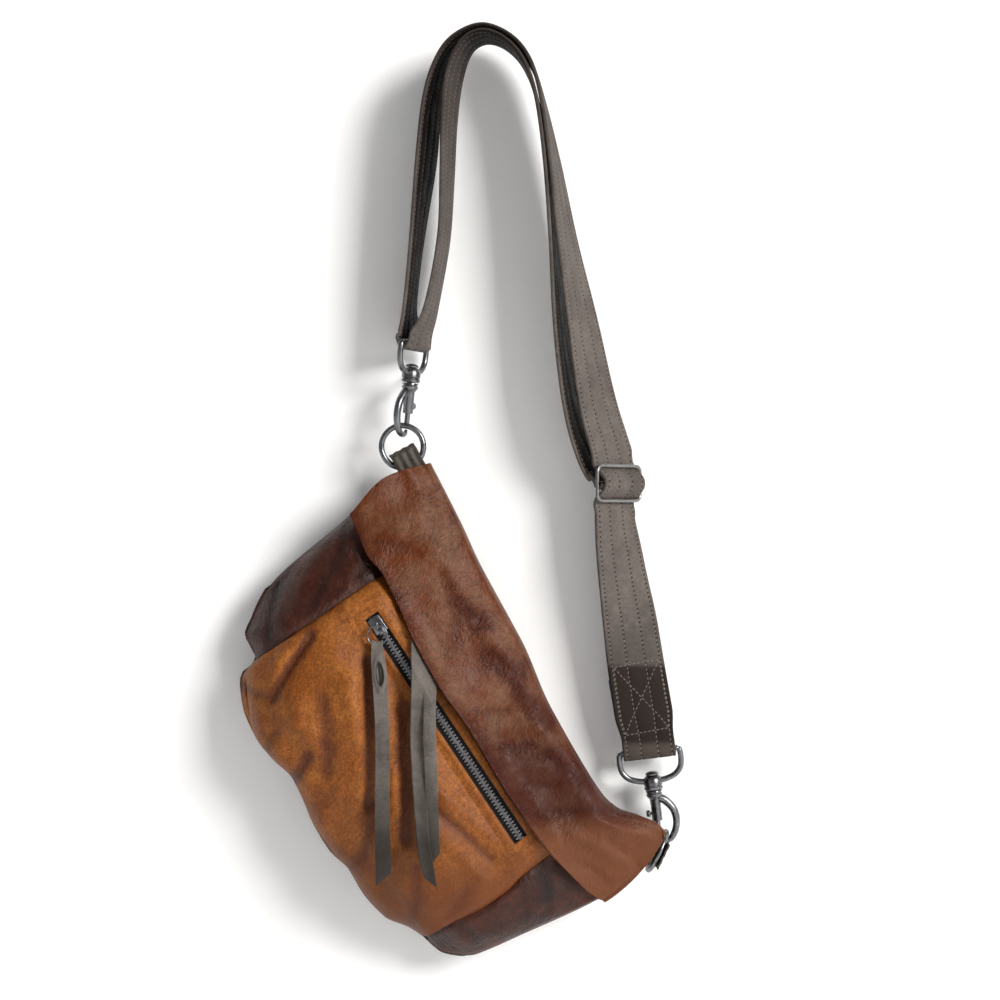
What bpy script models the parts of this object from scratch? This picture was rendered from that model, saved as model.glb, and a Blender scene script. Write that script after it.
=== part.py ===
"""Leather sling bag hung up by its strap: a soft pouch with a fold-over flap, two zips and two swivel snaps.

Sizes are in millimetres and become metres in the meshes. The origin is under the strap's top bend,
+X is to the right, +Z is up and the bag's front faces -Y.
The bag hangs aslant, so its panels are laid out in their own plane: u runs along the fold of the flap,
v runs from the fold to the bottom, and y is the depth.
"""

import math

import bmesh
import bpy
from mathutils import Matrix, Vector

MM = 0.001

# The bag's own plane
BAG_ORIGIN = Vector((-38.1, 0.0, -268.9))
BAG_TILT = math.radians(62.0)
U_AXIS = Vector((math.cos(BAG_TILT), 0.0, -math.sin(BAG_TILT)))
V_AXIS = Vector((-math.sin(BAG_TILT), 0.0, -math.cos(BAG_TILT)))
Y_AXIS = Vector((0.0, 1.0, 0.0))

# Leather and the bag's outline, as (v, u) for the two ends and (u, v) for the fold and the bottom
LEATHER = 1.8
SEAM_GAP = 0.5
SKIRT = 2.5
LEFT_EDGE = ((0, 0), (28, -4), (60, 5), (118, 18), (130, 23), (147, 35), (157, 48), (181, 100))
RIGHT_EDGE = ((0, 286), (14, 293), (36, 296), (91, 293), (121, 290.5), (130, 287), (141, 277),
              (146, 266), (162, 242), (174, 169), (181, 100))
BOTTOM_EDGE = ((-5, 30), (5, 60), (18, 118), (23, 130), (35, 147), (48, 157), (58, 161), (72, 174), (88, 179.5),
               (103, 180.5), (118, 178), (138, 172.5), (169, 174), (190, 172), (219, 167), (242, 161.5),
               (256, 151), (266, 146), (277, 141), (287, 130), (290.5, 121), (293, 91), (296, 36))
FOLD_LINE = ((-5, 0), (42, 0.8), (75, 2.5), (127, 2.2), (173, 5.0), (215, 4.4), (238, 2.3), (251, -1.6))
FLAP_EDGE = ((-5, 59), (28, 61.5), (46, 58.5), (95, 59.8), (125, 59.2), (159, 55.2), (197, 53.4), (220, 51), (255, 46))
LEFT_SEAM = ((20, 48), (65, 49.5), (107, 54), (157, 58.7), (181, 60))
RIGHT_SEAM = ((20, 250), (47, 252.8), (70, 256.4), (83, 260.2), (105, 262.5), (125, 262.2), (146, 263.8), (181, 265))

# Depths: the front swells from its seam to the belly and the back is flat
FRONT_SEAM_Y = 6.0
BELLY = 41.0
BACK_SEAM_Y = 6.8
BACK_SWELL = 21.4
BACK_FLAT_SHARE = 0.7
SWELL_DOWN = ((0, 0), (0.03, 0.2), (0.1, 0.33), (0.22, 0.46), (0.43, 0.83), (0.65, 1.0), (0.82, 0.9),
              (0.93, 0.62), (0.98, 0.33), (1, 0))

# Zips: the pocket zip crosses the pouch, the main zip lies under the flap and stands open right of its slider
POCKET_ZIP = {"start": 68.0, "end": 237.5, "v": 76.3, "slope": -0.1, "y": -28.0, "flat": 10.0, "fade": 24.0}
MAIN_ZIP = {"start": 32.0, "end": 238.0, "v": 42.7, "slope": -0.085, "y": -12.0, "flat": 15.0, "fade": 25.0}
WINDOW_HALF = 4.8
ZIP_END_GAP = 0.8
MOUTH_HALF = 5.5
MOUTH_START = 84.0
TAPE_HALF = 8.0
TAPE_THICK = 0.6
TAPE_BEHIND = 0.9
POCKET_PITCH = 3.0
MAIN_PITCH = 4.2
TOOTH_WIDE = 0.9
TOOTH_LONG = 2.2
SPINE_WIDE = 1.3
TEETH_THICK = 1.8
POCKET_SLIDER_U = 75.0
MAIN_SLIDER_U = 71.0
SLIDER_LONG = 11.0
SLIDER_WIDE = 8.4
SLIDER_HIGH = 3.2
POCKET_EYE = 3.6
MAIN_EYE = 1.4

# Flap
FLAP_LIFT = 8.2
FLAP_STRAIGHT_U = 14.0
FLAP_END_U = 245.0
HINGE_V = 2.0
HINGE_Y = 4.0

# Pull strips
STRIP_THICK = 1.4
STRIP_WIDE = 9.0
PULL_CLEAR = 0.8
POCKET_STRIP_Y = -42.2
MAIN_STRIP_Y = -45.8
PULL_RING_R = 6.1
PULL_WIRE_R = 0.75

# Rings and tabs
RING_R = 13.4
RING_WIRE_R = 1.85
TAB_WIDE = 18.0
TAB_LEATHER = 1.3
TAB_GAP = 5.0
LEFT_RING_TURN = math.radians(-2.0)
RIGHT_RING_RUN = Vector((0.432, 0.0, 0.902)).normalized()

# Swivel snaps, measured from the underside of the swivel flange
EYE_BAR_Z = 28.0
EYE_HALF = 19.7
EYE_WIRE_R = 1.9
BOSS_R = 6.0
BOSS_LOW = 2.9
BOSS_HIGH = 12.3
POST_R = 2.5
POST_CLEAR = 0.2
BARREL_R = 3.3
BARREL_BORE_R = 2.0
BARREL_LOW = -17.0
BOLT_R = 1.7
BOLT_LOW = -24.3
BOLT_HIGH = -10.0
KNOB_Z = -12.0
KNOB_OUT = 6.6
BOLT_TRAVEL = 4.0
HOOK_ROD_R = 2.3
HOOK_PATH = ((1.0, -2.6), (6.6, -5.0), (11.0, -10.5), (12.2, -17.0), (11.0, -23.5), (7.8, -28.8), (3.8, -30.6),
             (0.7, -29.4), (0.0, -27.0))
WIRE_IN_HOOK = (4.7, -24.9)
UPPER_SNAP = Vector((-51.0, 6.0, -220.9))
UPPER_DOWN = Vector((-0.096, 0.038, -0.995))
UPPER_BULGE = Vector((-0.5, -0.87, 0.0))
UPPER_EYE_RUN = Vector((0.37, 0.93, 0.0))
LOWER_SNAP = Vector((105.5, 15.0, -482.0))
LOWER_DOWN = Vector((0.118, 0.0, -0.993))
LOWER_BULGE = Vector((1.0, 0.0, 0.118))

# Strap: each run is a list of centre points with the turn of the strap's width, in degrees, from +Y towards +X
STRAP_WIDE = 38.0
STRAP_NARROW = 33.6
STRAP_STEPS = 3
STRAP_THICK = 2.6
LOOP_CLEAR = 0.6
UPPER_TURN = 22
BUCKLE_TURN = 44
LOWER_TURN = 90
OUTER_RUN = (
    (79.9, 7.4, -300.0, 44), (79.3, 8.1, -293.8, 44), (84.9, 2.7, -286.2, 44), (85.9, 1.7, -282.4, 44),
    (84.9, 2.7, -278.6, 44), (79.3, 8.1, -271.0, 44),
    (76.8, 6.8, -260.0, 44), (68.0, 4.1, -229.3, 41), (58.7, 3.2, -178.4, 32), (49.1, 2.3, -127.6, 21),
    (41.0, 1.4, -76.9, 12), (33.5, 0.7, -38.9, 6), (26.2, 0.2, -16.0, 5), (14.0, 0.0, -1.6, 5),
    (-3.0, 0.0, 4.9, 6), (-20.0, 0.0, -1.6, 6), (-30.4, 0.3, -15.0, 8), (-36.6, 0.8, -38.8, 14),
    (-40.6, 1.6, -76.8, 16), (-46.7, 2.7, -127.6, 9), (-51.0, 4.4, -168.0, 8), (-51.9, 6.6, -182.0, 16),
    (-51.7, 7.4, -190.4, 22),
)
INNER_RUN = (
    (-43.0, 4.6, -186.0, 18), (-37.4, 3.8, -170.0, 9),
    (-29.6, 2.7, -127.6, 8), (-27.4, 1.9, -90.0, 10), (-26.0, 1.1, -51.5, 12), (-22.8, 0.6, -24.0, 13),
    (-15.0, 0.0, -5.2, 9), (-3.0, 0.0, 1.3, 6), (10.0, 0.0, -3.6, 5), (20.4, 0.2, -17.0, 4),
    (28.0, 0.4, -38.9, 4), (33.4, 0.6, -77.0, 5), (37.6, 0.9, -127.8, 7), (44.0, 1.3, -178.6, 10),
    (49.2, 2.2, -216.0, 16), (56.0, 5.2, -243.0, 26), (65.0, 10.2, -262.0, 36), (72.9, 14.3, -273.0, 44),
    (77.2, 10.2, -278.6, 44),
)
LOWER_END_RUN = ((94.0, 14.4, -405.0, 76), (97.6, 15.6, -424.0, 80), (101.0, 18.0, -444.0, 86))
LOWER_RUN = (
    (100.6, 11.0, -443.0, 84), (97.0, 10.6, -421.3, 79),
    (92.9, 10.4, -395.5, 74), (89.3, 9.6, -369.8, 67), (85.1, 8.6, -344.1, 57), (81.8, 7.2, -322.0, 50),
    (80.0, 7.3, -307.0, 44), (79.9, 7.4, -301.2, 44),
)

# Adjuster buckle on the strap
BUCKLE_AT = Vector((82.2, 5.3, -282.4))
BUCKLE_HALF_WIDE = 20.8
BUCKLE_HALF_HIGH = 11.0
BUCKLE_WIRE_R = 1.2
BUCKLE_BAR_BACK = 1.0

CHESTNUT = ("chestnut_leather", (0.145, 0.055, 0.034), 0.45, 0.0)
DARK_BROWN = ("dark_brown_leather", (0.051, 0.014, 0.007), 0.5, 0.0)
TAN = ("tan_leather", (0.323, 0.105, 0.014), 0.55, 0.0)
TAUPE = ("taupe_leather", (0.156, 0.133, 0.117), 0.55, 0.0)
CANVAS = ("lining_fabric", (0.32, 0.25, 0.17), 0.9, 0.0)
TAPE_BLACK = ("zip_tape", (0.006, 0.007, 0.008), 0.85, 0.0)
GUNMETAL = ("gunmetal_teeth", (0.16, 0.16, 0.17), 0.3, 1.0)
NICKEL = ("polished_nickel", (0.78, 0.77, 0.74), 0.16, 1.0)
SPRING_STEEL = ("spring_steel", (0.45, 0.45, 0.46), 0.35, 1.0)

PARTS = "sling_bag"


def clear_scene():
    for obj in list(bpy.data.objects):
        bpy.data.objects.remove(obj, do_unlink=True)


def parts_collection():
    collection = bpy.data.collections.new(PARTS)
    bpy.context.scene.collection.children.link(collection)
    return collection


def material(look):
    name, colour, roughness, metallic = look
    found = bpy.data.materials.get(name)
    if found:
        return found
    made = bpy.data.materials.new(name)
    made.use_nodes = True
    shader = made.node_tree.nodes["Principled BSDF"]
    shader.inputs["Base Color"].default_value = (*colour, 1.0)
    shader.inputs["Roughness"].default_value = roughness
    shader.inputs["Metallic"].default_value = metallic
    return made


# Small maths

def hermite(knots, x):
    """Smooth curve through (x, value) knots, without overshoot at flat stretches."""
    if x <= knots[0][0]:
        return knots[0][1]
    if x >= knots[-1][0]:
        return knots[-1][1]
    last = len(knots) - 1
    i = next(k for k in range(last) if x <= knots[k + 1][0])
    slopes = [(knots[k + 1][1] - knots[k][1]) / (knots[k + 1][0] - knots[k][0]) for k in range(last)]

    def tangent(k):
        if k == 0 or k == last:
            return slopes[min(k, last - 1)]
        if slopes[k - 1] * slopes[k] <= 0:
            return 0.0
        return 2 * slopes[k - 1] * slopes[k] / (slopes[k - 1] + slopes[k])

    step = knots[i + 1][0] - knots[i][0]
    t = (x - knots[i][0]) / step
    return ((2 * t ** 3 - 3 * t ** 2 + 1) * knots[i][1] + (t ** 3 - 2 * t ** 2 + t) * step * tangent(i)
            + (3 * t ** 2 - 2 * t ** 3) * knots[i + 1][1] + (t ** 3 - t ** 2) * step * tangent(i + 1))


def smooth_step(low, high, x):
    t = min(1.0, max(0.0, (x - low) / (high - low)))
    return t * t * (3 - 2 * t)


def lerp(a, b, t):
    return a + (b - a) * t


def smooth_path(points, steps):
    """A smooth curve through a list of vectors, with the same number of steps between each two."""
    fine = []
    for i in range(len(points) - 1):
        before = points[max(i - 1, 0)]
        after = points[min(i + 2, len(points) - 1)]
        for k in range(steps):
            fine.append(catmull(before, points[i], points[i + 1], after, k / steps))
    fine.append(points[-1])
    return fine


def along(points, count):
    """count points, evenly spaced, on a smooth curve through a list of vectors."""
    fine = smooth_path(points, 12)
    gaps = [0.0]
    for a, b in zip(fine, fine[1:]):
        gaps.append(gaps[-1] + (b.xyz - a.xyz).length)
    picked = []
    j = 0
    for n in range(count):
        goal = gaps[-1] * n / (count - 1)
        while j < len(fine) - 2 and gaps[j + 1] < goal:
            j += 1
        share = (goal - gaps[j]) / max(gaps[j + 1] - gaps[j], 1e-9)
        picked.append(fine[j].lerp(fine[j + 1], min(share, 1.0)))
    return picked


def catmull(a, b, c, d, t):
    return 0.5 * (2 * b + (c - a) * t + (2 * a - 5 * b + 4 * c - d) * t ** 2 + (3 * b - a - 3 * c + d) * t ** 3)


# The bag's surface

def bag_point(u, v, y):
    return BAG_ORIGIN + U_AXIS * u + V_AXIS * v + Y_AXIS * y


def shares(u, v):
    """How far across and how far down a point lies between the bag's edges, each from 0 to 1."""
    left = hermite(LEFT_EDGE, v)
    right = hermite(RIGHT_EDGE, v)
    across = (u - left) / (right - left)
    down = v / hermite(BOTTOM_EDGE, u)
    return min(1.0, max(0.0, across)), min(1.0, max(0.0, down))


def bulge(share):
    return (1 - abs(2 * share - 1) ** 2.6) ** 0.6


def zip_v(line, u):
    return line["v"] + line["slope"] * (u - line["start"])


def settle(y, line, u, v):
    """Draws the surface flat near a zip, so that its slider runs straight."""
    away = abs(v - zip_v(line, u))
    beyond = max(line["start"] - u, u - line["end"], 0.0)
    share = (1 - smooth_step(line["flat"], line["fade"], away)) * (1 - smooth_step(4.0, 22.0, beyond))
    return lerp(y, line["y"], share)


def plump_y(u, v):
    across, down = shares(u, v)
    return FRONT_SEAM_Y - SKIRT - BELLY * bulge(across) * hermite(SWELL_DOWN, down)


def front_y(u, v):
    return settle(settle(plump_y(u, v), MAIN_ZIP, u, v), POCKET_ZIP, u, v)


def back_y(u, v):
    across, down = shares(u, v)
    return BACK_SEAM_Y + SKIRT + BACK_SWELL * min(1.0, bulge(across) * bulge(down) / BACK_FLAT_SHARE)


def mouth_half(u):
    """Half the gap between the main zip's two rows of teeth."""
    opening = smooth_step(MOUTH_START, MOUTH_START + 50, u) * (1 - smooth_step(180, MAIN_ZIP["end"] - 6, u))
    return MOUTH_HALF * opening


def slot_half(u):
    """Half the slot that the leather leaves for the main zip."""
    ends = smooth_step(MAIN_ZIP["start"] - 18, MAIN_ZIP["start"] - 6, u)
    ends *= 1 - smooth_step(MAIN_ZIP["end"] + 6, MAIN_ZIP["end"] + 18, u)
    return ZIP_END_GAP + (WINDOW_HALF - ZIP_END_GAP + mouth_half(u)) * ends


# Making objects

def add_object(name, mesh, look, smooth=True):
    obj = bpy.data.objects.new(name, mesh)
    bpy.data.collections[PARTS].objects.link(obj)
    mesh.materials.clear()
    mesh.materials.append(material(look))
    if smooth:
        mesh.shade_smooth()
        mesh.set_sharp_from_angle(angle=math.radians(35))
    return obj


def set_origin(obj, point):
    """Moves an object's origin to a point given in millimetres, and leaves its shape where it is."""
    obj.data.transform(Matrix.Translation(-point * MM))
    obj.location = point * MM
    return obj


def evaluated_mesh(obj):
    graph = bpy.context.evaluated_depsgraph_get()
    mesh = bpy.data.meshes.new_from_object(obj.evaluated_get(graph))
    work = bmesh.new()
    work.from_mesh(mesh)
    bmesh.ops.remove_doubles(work, verts=work.verts, dist=0.00001)
    bmesh.ops.recalc_face_normals(work, faces=work.faces)
    if work.calc_volume(signed=True) < 0:
        bmesh.ops.reverse_faces(work, faces=work.faces)
    work.to_mesh(mesh)
    work.free()
    return mesh


def sheet(name, columns, rows, place, thickness, look, outward, keep=None):
    """An open grid placed by a formula of (s, t) and thickened away from its outward side."""
    bpy.ops.mesh.primitive_grid_add(x_subdivisions=columns, y_subdivisions=rows, size=2)
    obj = bpy.context.object
    work = bmesh.new()
    work.from_mesh(obj.data)
    spots = {vert: ((vert.co.x + 1) / 2, (vert.co.y + 1) / 2) for vert in work.verts}
    if keep:
        drop = []
        for face in work.faces:
            s = sum(spots[vert][0] for vert in face.verts) / 4
            t = sum(spots[vert][1] for vert in face.verts) / 4
            if not keep(s, t):
                drop.append(face)
        bmesh.ops.delete(work, geom=drop, context="FACES")
    for vert in work.verts:
        vert.co = place(*spots[vert]) * MM
    bmesh.ops.recalc_face_normals(work, faces=work.faces)
    work.normal_update()
    facing = sum((face.normal for face in work.faces), Vector())
    if facing.dot(outward) < 0:
        bmesh.ops.reverse_faces(work, faces=work.faces)
    work.to_mesh(obj.data)
    work.free()
    thicken = obj.modifiers.new("thickness", "SOLIDIFY")
    thicken.thickness = thickness * MM
    thicken.offset = -1
    thicken.use_quality_normals = True
    mesh = evaluated_mesh(obj)
    bpy.data.objects.remove(obj)
    return add_object(name, mesh, look)


def plate(outline, low, high):
    """A flat mesh from an outline in the bag's plane, between two depths."""
    curve = bpy.data.curves.new("outline", "CURVE")
    curve.dimensions = "2D"
    curve.fill_mode = "BOTH"
    curve.extrude = (high - low) / 2 * MM
    spline = curve.splines.new("POLY")
    spline.points.add(len(outline) - 1)
    spline.use_cyclic_u = True
    for point, (u, v) in zip(spline.points, outline):
        point.co = (u * MM, v * MM, 0.0, 1.0)
    holder = bpy.data.objects.new("outline", curve)
    bpy.context.scene.collection.objects.link(holder)
    mesh = evaluated_mesh(holder)
    bpy.data.objects.remove(holder)
    frame = Matrix((U_AXIS, V_AXIS, Y_AXIS)).transposed().to_4x4()
    frame.translation = bag_point(0, 0, (low + high) / 2) * MM
    mesh.transform(frame)
    return mesh


def tube(points, radius, closed=False, smooth_sides=1):
    """A round tube mesh through points in millimetres, with filled ends."""
    curve = bpy.data.curves.new("wire", "CURVE")
    curve.dimensions = "3D"
    curve.bevel_depth = radius * MM
    curve.bevel_resolution = smooth_sides
    curve.use_fill_caps = True
    spline = curve.splines.new("POLY")
    spline.points.add(len(points) - 1)
    spline.use_cyclic_u = closed
    for point, spot in zip(spline.points, points):
        point.co = (*(Vector(spot) * MM), 1.0)
    holder = bpy.data.objects.new("wire", curve)
    bpy.context.scene.collection.objects.link(holder)
    mesh = evaluated_mesh(holder)
    bpy.data.objects.remove(holder)
    return mesh


def cylinder(radius, low, high, sides=20):
    """An upright cylinder mesh on the local Z axis."""
    mesh = bpy.data.meshes.new("cylinder")
    work = bmesh.new()
    bmesh.ops.create_cone(work, cap_ends=True, segments=sides, radius1=radius * MM, radius2=radius * MM,
                          depth=(high - low) * MM)
    bmesh.ops.translate(work, verts=work.verts, vec=(0, 0, (low + high) / 2 * MM))
    work.to_mesh(mesh)
    work.free()
    return mesh


def block(low, high):
    """A box mesh between two corners."""
    mesh = bpy.data.meshes.new("block")
    work = bmesh.new()
    bmesh.ops.create_cube(work, size=1.0)
    low = Vector(low) * MM
    high = Vector(high) * MM
    for vert in work.verts:
        vert.co = [low[k] + (vert.co[k] + 0.5) * (high[k] - low[k]) for k in range(3)]
    work.to_mesh(mesh)
    work.free()
    return mesh


def combine(base, tool, operation):
    """Joins two closed meshes, or cuts one with the other."""
    holders = []
    for mesh in (base, tool):
        holder = bpy.data.objects.new("solid", mesh)
        bpy.context.scene.collection.objects.link(holder)
        holders.append(holder)
    boolean = holders[0].modifiers.new("combine", "BOOLEAN")
    boolean.operation = operation
    boolean.object = holders[1]
    mesh = evaluated_mesh(holders[0])
    for holder in holders:
        bpy.data.objects.remove(holder)
    return mesh


# Bag panels

POUCH_COLUMNS = 24
POUCH_ROWS = 14
POUCH_HIGH = 5 / POUCH_ROWS
POUCH_LOW = 6 / POUCH_ROWS
POUCH_FOOT = 13 / POUCH_ROWS
END_COLUMNS = 7
BACK_COLUMNS = 16
BACK_ROWS = 12


def pouch_v(u, t):
    """Rows of the pouch: down to the zip, across its window, and on to the bottom seam."""
    high = zip_v(POCKET_ZIP, u) - WINDOW_HALF
    low = zip_v(POCKET_ZIP, u) + WINDOW_HALF
    if t <= POUCH_HIGH:
        return lerp(zip_v(MAIN_ZIP, u) + slot_half(u), high, t / POUCH_HIGH)
    if t <= POUCH_LOW:
        return lerp(high, low, (t - POUCH_HIGH) / (POUCH_LOW - POUCH_HIGH))
    share = min(1.0, (t - POUCH_LOW) / (POUCH_FOOT - POUCH_LOW))
    return lerp(low, hermite(BOTTOM_EDGE, u), (1 - math.cos(share * math.pi)) / 2)


def pouch_place(s, t):
    u = lerp(54.0, 258.0, s)
    for _ in range(3):
        v = pouch_v(u, t)
        u = lerp(hermite(LEFT_SEAM, v) + SEAM_GAP, hermite(RIGHT_SEAM, v) - SEAM_GAP, s)
    y = FRONT_SEAM_Y if t > POUCH_FOOT + 0.001 else front_y(u, v)
    return bag_point(u, v, y)


def pouch_keep(s, t):
    in_row = POUCH_HIGH < t < POUCH_LOW
    return not (in_row and 2 / POUCH_COLUMNS < s < 22 / POUCH_COLUMNS)


def end_top(u):
    return zip_v(MAIN_ZIP, u) + slot_half(u)


def end_left_place(s, t):
    """Columns run from the seam to the bag's end; the last column turns back to the rim."""
    share = min(1.0, s * END_COLUMNS / (END_COLUMNS - 1))
    v = lerp(end_top(lerp(48.0, 2.0, share)), 157.0, t)
    u = lerp(hermite(LEFT_SEAM, v) - SEAM_GAP, hermite(LEFT_EDGE, v), math.sin(share * math.pi / 2))
    return bag_point(u, v, FRONT_SEAM_Y if s > 0.999 else front_y(u, v))


def end_right_place(s, t):
    share = min(1.0, s * END_COLUMNS / (END_COLUMNS - 1))
    v = lerp(end_top(lerp(252.0, 294.0, share)), 143.0, t)
    u = lerp(hermite(RIGHT_SEAM, v) + SEAM_GAP, hermite(RIGHT_EDGE, v), math.sin(share * math.pi / 2))
    return bag_point(u, v, FRONT_SEAM_Y if s > 0.999 else front_y(u, v))


def yoke_place(s, t):
    u = lerp(5.0, 284.0, s)
    v = lerp(hermite(FOLD_LINE, u) + 6.0, zip_v(MAIN_ZIP, u) - slot_half(u), t)
    return bag_point(u, v, front_y(u, v))


def ease(share, count):
    """Even steps turned into close steps at both ends, with the outermost step kept for the rim."""
    inner = min(1.0, max(0.0, (share * count - 1) / (count - 2)))
    return (1 - math.cos(inner * math.pi)) / 2


def back_place(s, t):
    """A patch between the bag's four edges, with a rim that turns forward."""
    rim = min(s, 1 - s, t, 1 - t) < 0.001
    s = ease(s, BACK_COLUMNS)
    t = ease(t, BACK_ROWS)
    low = 130.0
    left_v = lerp(5.0, low, t)
    right_v = lerp(12.0, low, t)
    left = Vector((hermite(LEFT_EDGE, left_v), left_v))
    right = Vector((hermite(RIGHT_EDGE, right_v), right_v))
    top_left = Vector((hermite(LEFT_EDGE, 5.0), 5.0))
    top_right = Vector((hermite(RIGHT_EDGE, 12.0), 12.0))
    foot_left = Vector((hermite(LEFT_EDGE, low), low))
    foot_right = Vector((hermite(RIGHT_EDGE, low), low))
    foot_u = lerp(foot_left.x, foot_right.x, s)
    foot = Vector((foot_u, hermite(BOTTOM_EDGE, foot_u)))
    top = top_left.lerp(top_right, s)
    corners = top.lerp(foot_left.lerp(foot_right, s), t)
    u, v = left.lerp(right, s) + top.lerp(foot, t) - corners
    return bag_point(u, v, BACK_SEAM_Y if rim else back_y(u, v))


def lining_place(s, t):
    u = lerp(46.0, 250.0, s)
    v = lerp(28.0, hermite(BOTTOM_EDGE, u) - 32.0, t)
    return bag_point(u, v, back_y(u, v) - LEATHER - 2.6)


def pocket_lining_place(s, t):
    u = lerp(64.0, 248.0, s)
    v = lerp(zip_v(POCKET_ZIP, u) - 12.0, hermite(BOTTOM_EDGE, u) - 20.0, t)
    return bag_point(u, v, front_y(u, v) + 10.0)


def make_panels():
    front = -Y_AXIS
    sheet("pouch_panel", POUCH_COLUMNS, POUCH_ROWS, pouch_place, LEATHER, TAN, front, pouch_keep)
    sheet("end_panel_left", END_COLUMNS, 12, end_left_place, LEATHER, DARK_BROWN, front)
    sheet("end_panel_right", END_COLUMNS, 12, end_right_place, LEATHER, DARK_BROWN, front)
    sheet("zip_yoke", 24, 4, yoke_place, LEATHER, CHESTNUT, front)
    sheet("back_panel", BACK_COLUMNS, BACK_ROWS, back_place, LEATHER, DARK_BROWN, Y_AXIS)
    sheet("back_lining", 10, 8, lining_place, 0.6, CANVAS, Y_AXIS)
    sheet("pocket_lining", 10, 7, pocket_lining_place, 0.6, CANVAS, front)


# Flap

def flap_profile(u):
    """The flap's section at u, as (v, y) points from its root over the fold to its free edge."""
    top = hermite(FOLD_LINE, u)
    edge = hermite(FLAP_EDGE, u)
    points = [Vector((0, top, HINGE_Y + 1.2)), Vector((0, top - 0.2, -0.5)), Vector((0, top + 0.9, -7.0))]
    points.append(Vector((0, top + 4.2, front_y(u, top + 6.0) - FLAP_LIFT + 0.5)))
    for share in (0.2, 0.36, 0.55, 0.78, 1.0):
        v = lerp(top, edge, share)
        clear_u = max(u, FLAP_STRAIGHT_U)
        points.append(Vector((0, v, min(plump_y(clear_u, v), front_y(clear_u, v)) - FLAP_LIFT)))
    return points


FLAP_ROWS = 10
FLAP_COLUMNS = 18


def flap_place(s, t):
    u = lerp(0.0, FLAP_END_U - 0.4, s)
    spot = along(flap_profile(u), FLAP_ROWS + 1)[round(t * FLAP_ROWS)]
    slant = (hermite(LEFT_EDGE, spot.y) + 0.6) * (1 - s) ** 3
    return bag_point(u + slant, spot.y, spot.z)


EAR_TOP = ((0, 245.4, 0.4), (0.2, 252, -3), (0.45, 261, -12.5), (0.7, 270, -20), (1, 280.5, -20))
EAR_FOOT = ((0, 245.4, 47.6), (0.35, 262, 44.5), (0.7, 285, 39), (1, 298.5, 33))
EAR_END_Y = -3.4
EAR_ROUND = 6.0


def ear_place(s, t):
    """The flap's sewn end, which the ring draws up and back."""
    spot = along(flap_profile(FLAP_END_U), FLAP_ROWS + 1)[round(t * FLAP_ROWS)]
    top_v, edge_v = hermite(FOLD_LINE, FLAP_END_U), hermite(FLAP_EDGE, FLAP_END_U)
    share = (spot.y - top_v) / (edge_v - top_v)
    u = lerp(hermite([(k[0], k[1]) for k in EAR_TOP], s), hermite([(k[0], k[1]) for k in EAR_FOOT], s), share)
    v = lerp(hermite([(k[0], k[2]) for k in EAR_TOP], s), hermite([(k[0], k[2]) for k in EAR_FOOT], s), share)
    u += EAR_ROUND * 4 * share * (1 - share) * s ** 2
    y = lerp(spot.z, EAR_END_Y, smooth_step(0.0, 1.0, s))
    if v > 5.0:
        y = min(y, front_y(u, v) - FLAP_LIFT + 1.0)
    return bag_point(u, v, y)


def make_flap():
    flap = sheet("flap", FLAP_COLUMNS, FLAP_ROWS, flap_place, LEATHER, CHESTNUT, -Y_AXIS)
    set_origin(flap, bag_point(120.0, HINGE_V, HINGE_Y))
    sheet("flap_end", 7, FLAP_ROWS, ear_place, LEATHER, CHESTNUT, -Y_AXIS)


# Zips

def tape_outline(line, side, gap):
    start, end = line["start"] - 1.5, line["end"] + 1.5
    steps = 16
    near = []
    far = []
    for k in range(steps + 1):
        u = lerp(start, end, k / steps)
        middle = zip_v(line, u)
        near.append((u, middle + side * (0.4 + gap(u))))
        far.append((u, middle + side * (TAPE_HALF + gap(u))))
    return near + far[::-1]


def comb_outline(line, side, gap, pitch):
    """One row of teeth on its spine; the other row's teeth stand half a pitch along."""
    start, end = line["start"] + 1.0, line["end"] - 1.0
    count = int((end - start) / pitch) - 1
    first = start + (0.8 if side > 0 else 0.8 + pitch / 2)

    def spot(u, out):
        return u, zip_v(line, u) + side * (gap(u) + out)

    inner = [spot(start, TOOTH_LONG / 2 + 0.3)]
    for k in range(count):
        u = first + k * pitch
        inner += [spot(u, TOOTH_LONG / 2 + 0.3), spot(u, -TOOTH_LONG / 2 + 0.3)]
        inner += [spot(u + TOOTH_WIDE, -TOOTH_LONG / 2 + 0.3), spot(u + TOOTH_WIDE, TOOTH_LONG / 2 + 0.3)]
    inner.append(spot(end, TOOTH_LONG / 2 + 0.3))
    steps = 12
    outer = [spot(lerp(end, start, k / steps), TOOTH_LONG / 2 + 0.3 + SPINE_WIDE) for k in range(steps + 1)]
    return inner + outer


def make_zip(prefix, line, gap, pitch):
    back = line["y"] + LEATHER + TAPE_BEHIND
    for word, side in (("upper", -1), ("lower", 1)):
        tape = plate(tape_outline(line, side, gap), back, back + TAPE_THICK)
        add_object(f"{prefix}_tape_{word}", tape, TAPE_BLACK, smooth=False)
        teeth = plate(comb_outline(line, side, gap, pitch), back - 0.3 - TEETH_THICK, back - 0.3)
        add_object(f"{prefix}_teeth_{word}", teeth, GUNMETAL, smooth=False)


def slider_frame(line, u):
    """A local frame on the zip: X along the zip, Y across it, Z out of the bag, at the teeth's back."""
    run = (U_AXIS + V_AXIS * line["slope"]).normalized()
    out = -Y_AXIS
    frame = Matrix((run, out.cross(run), out)).transposed().to_4x4()
    frame.translation = bag_point(u, zip_v(line, u), line["y"] + LEATHER + TAPE_BEHIND - 0.3) * MM
    return frame


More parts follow.
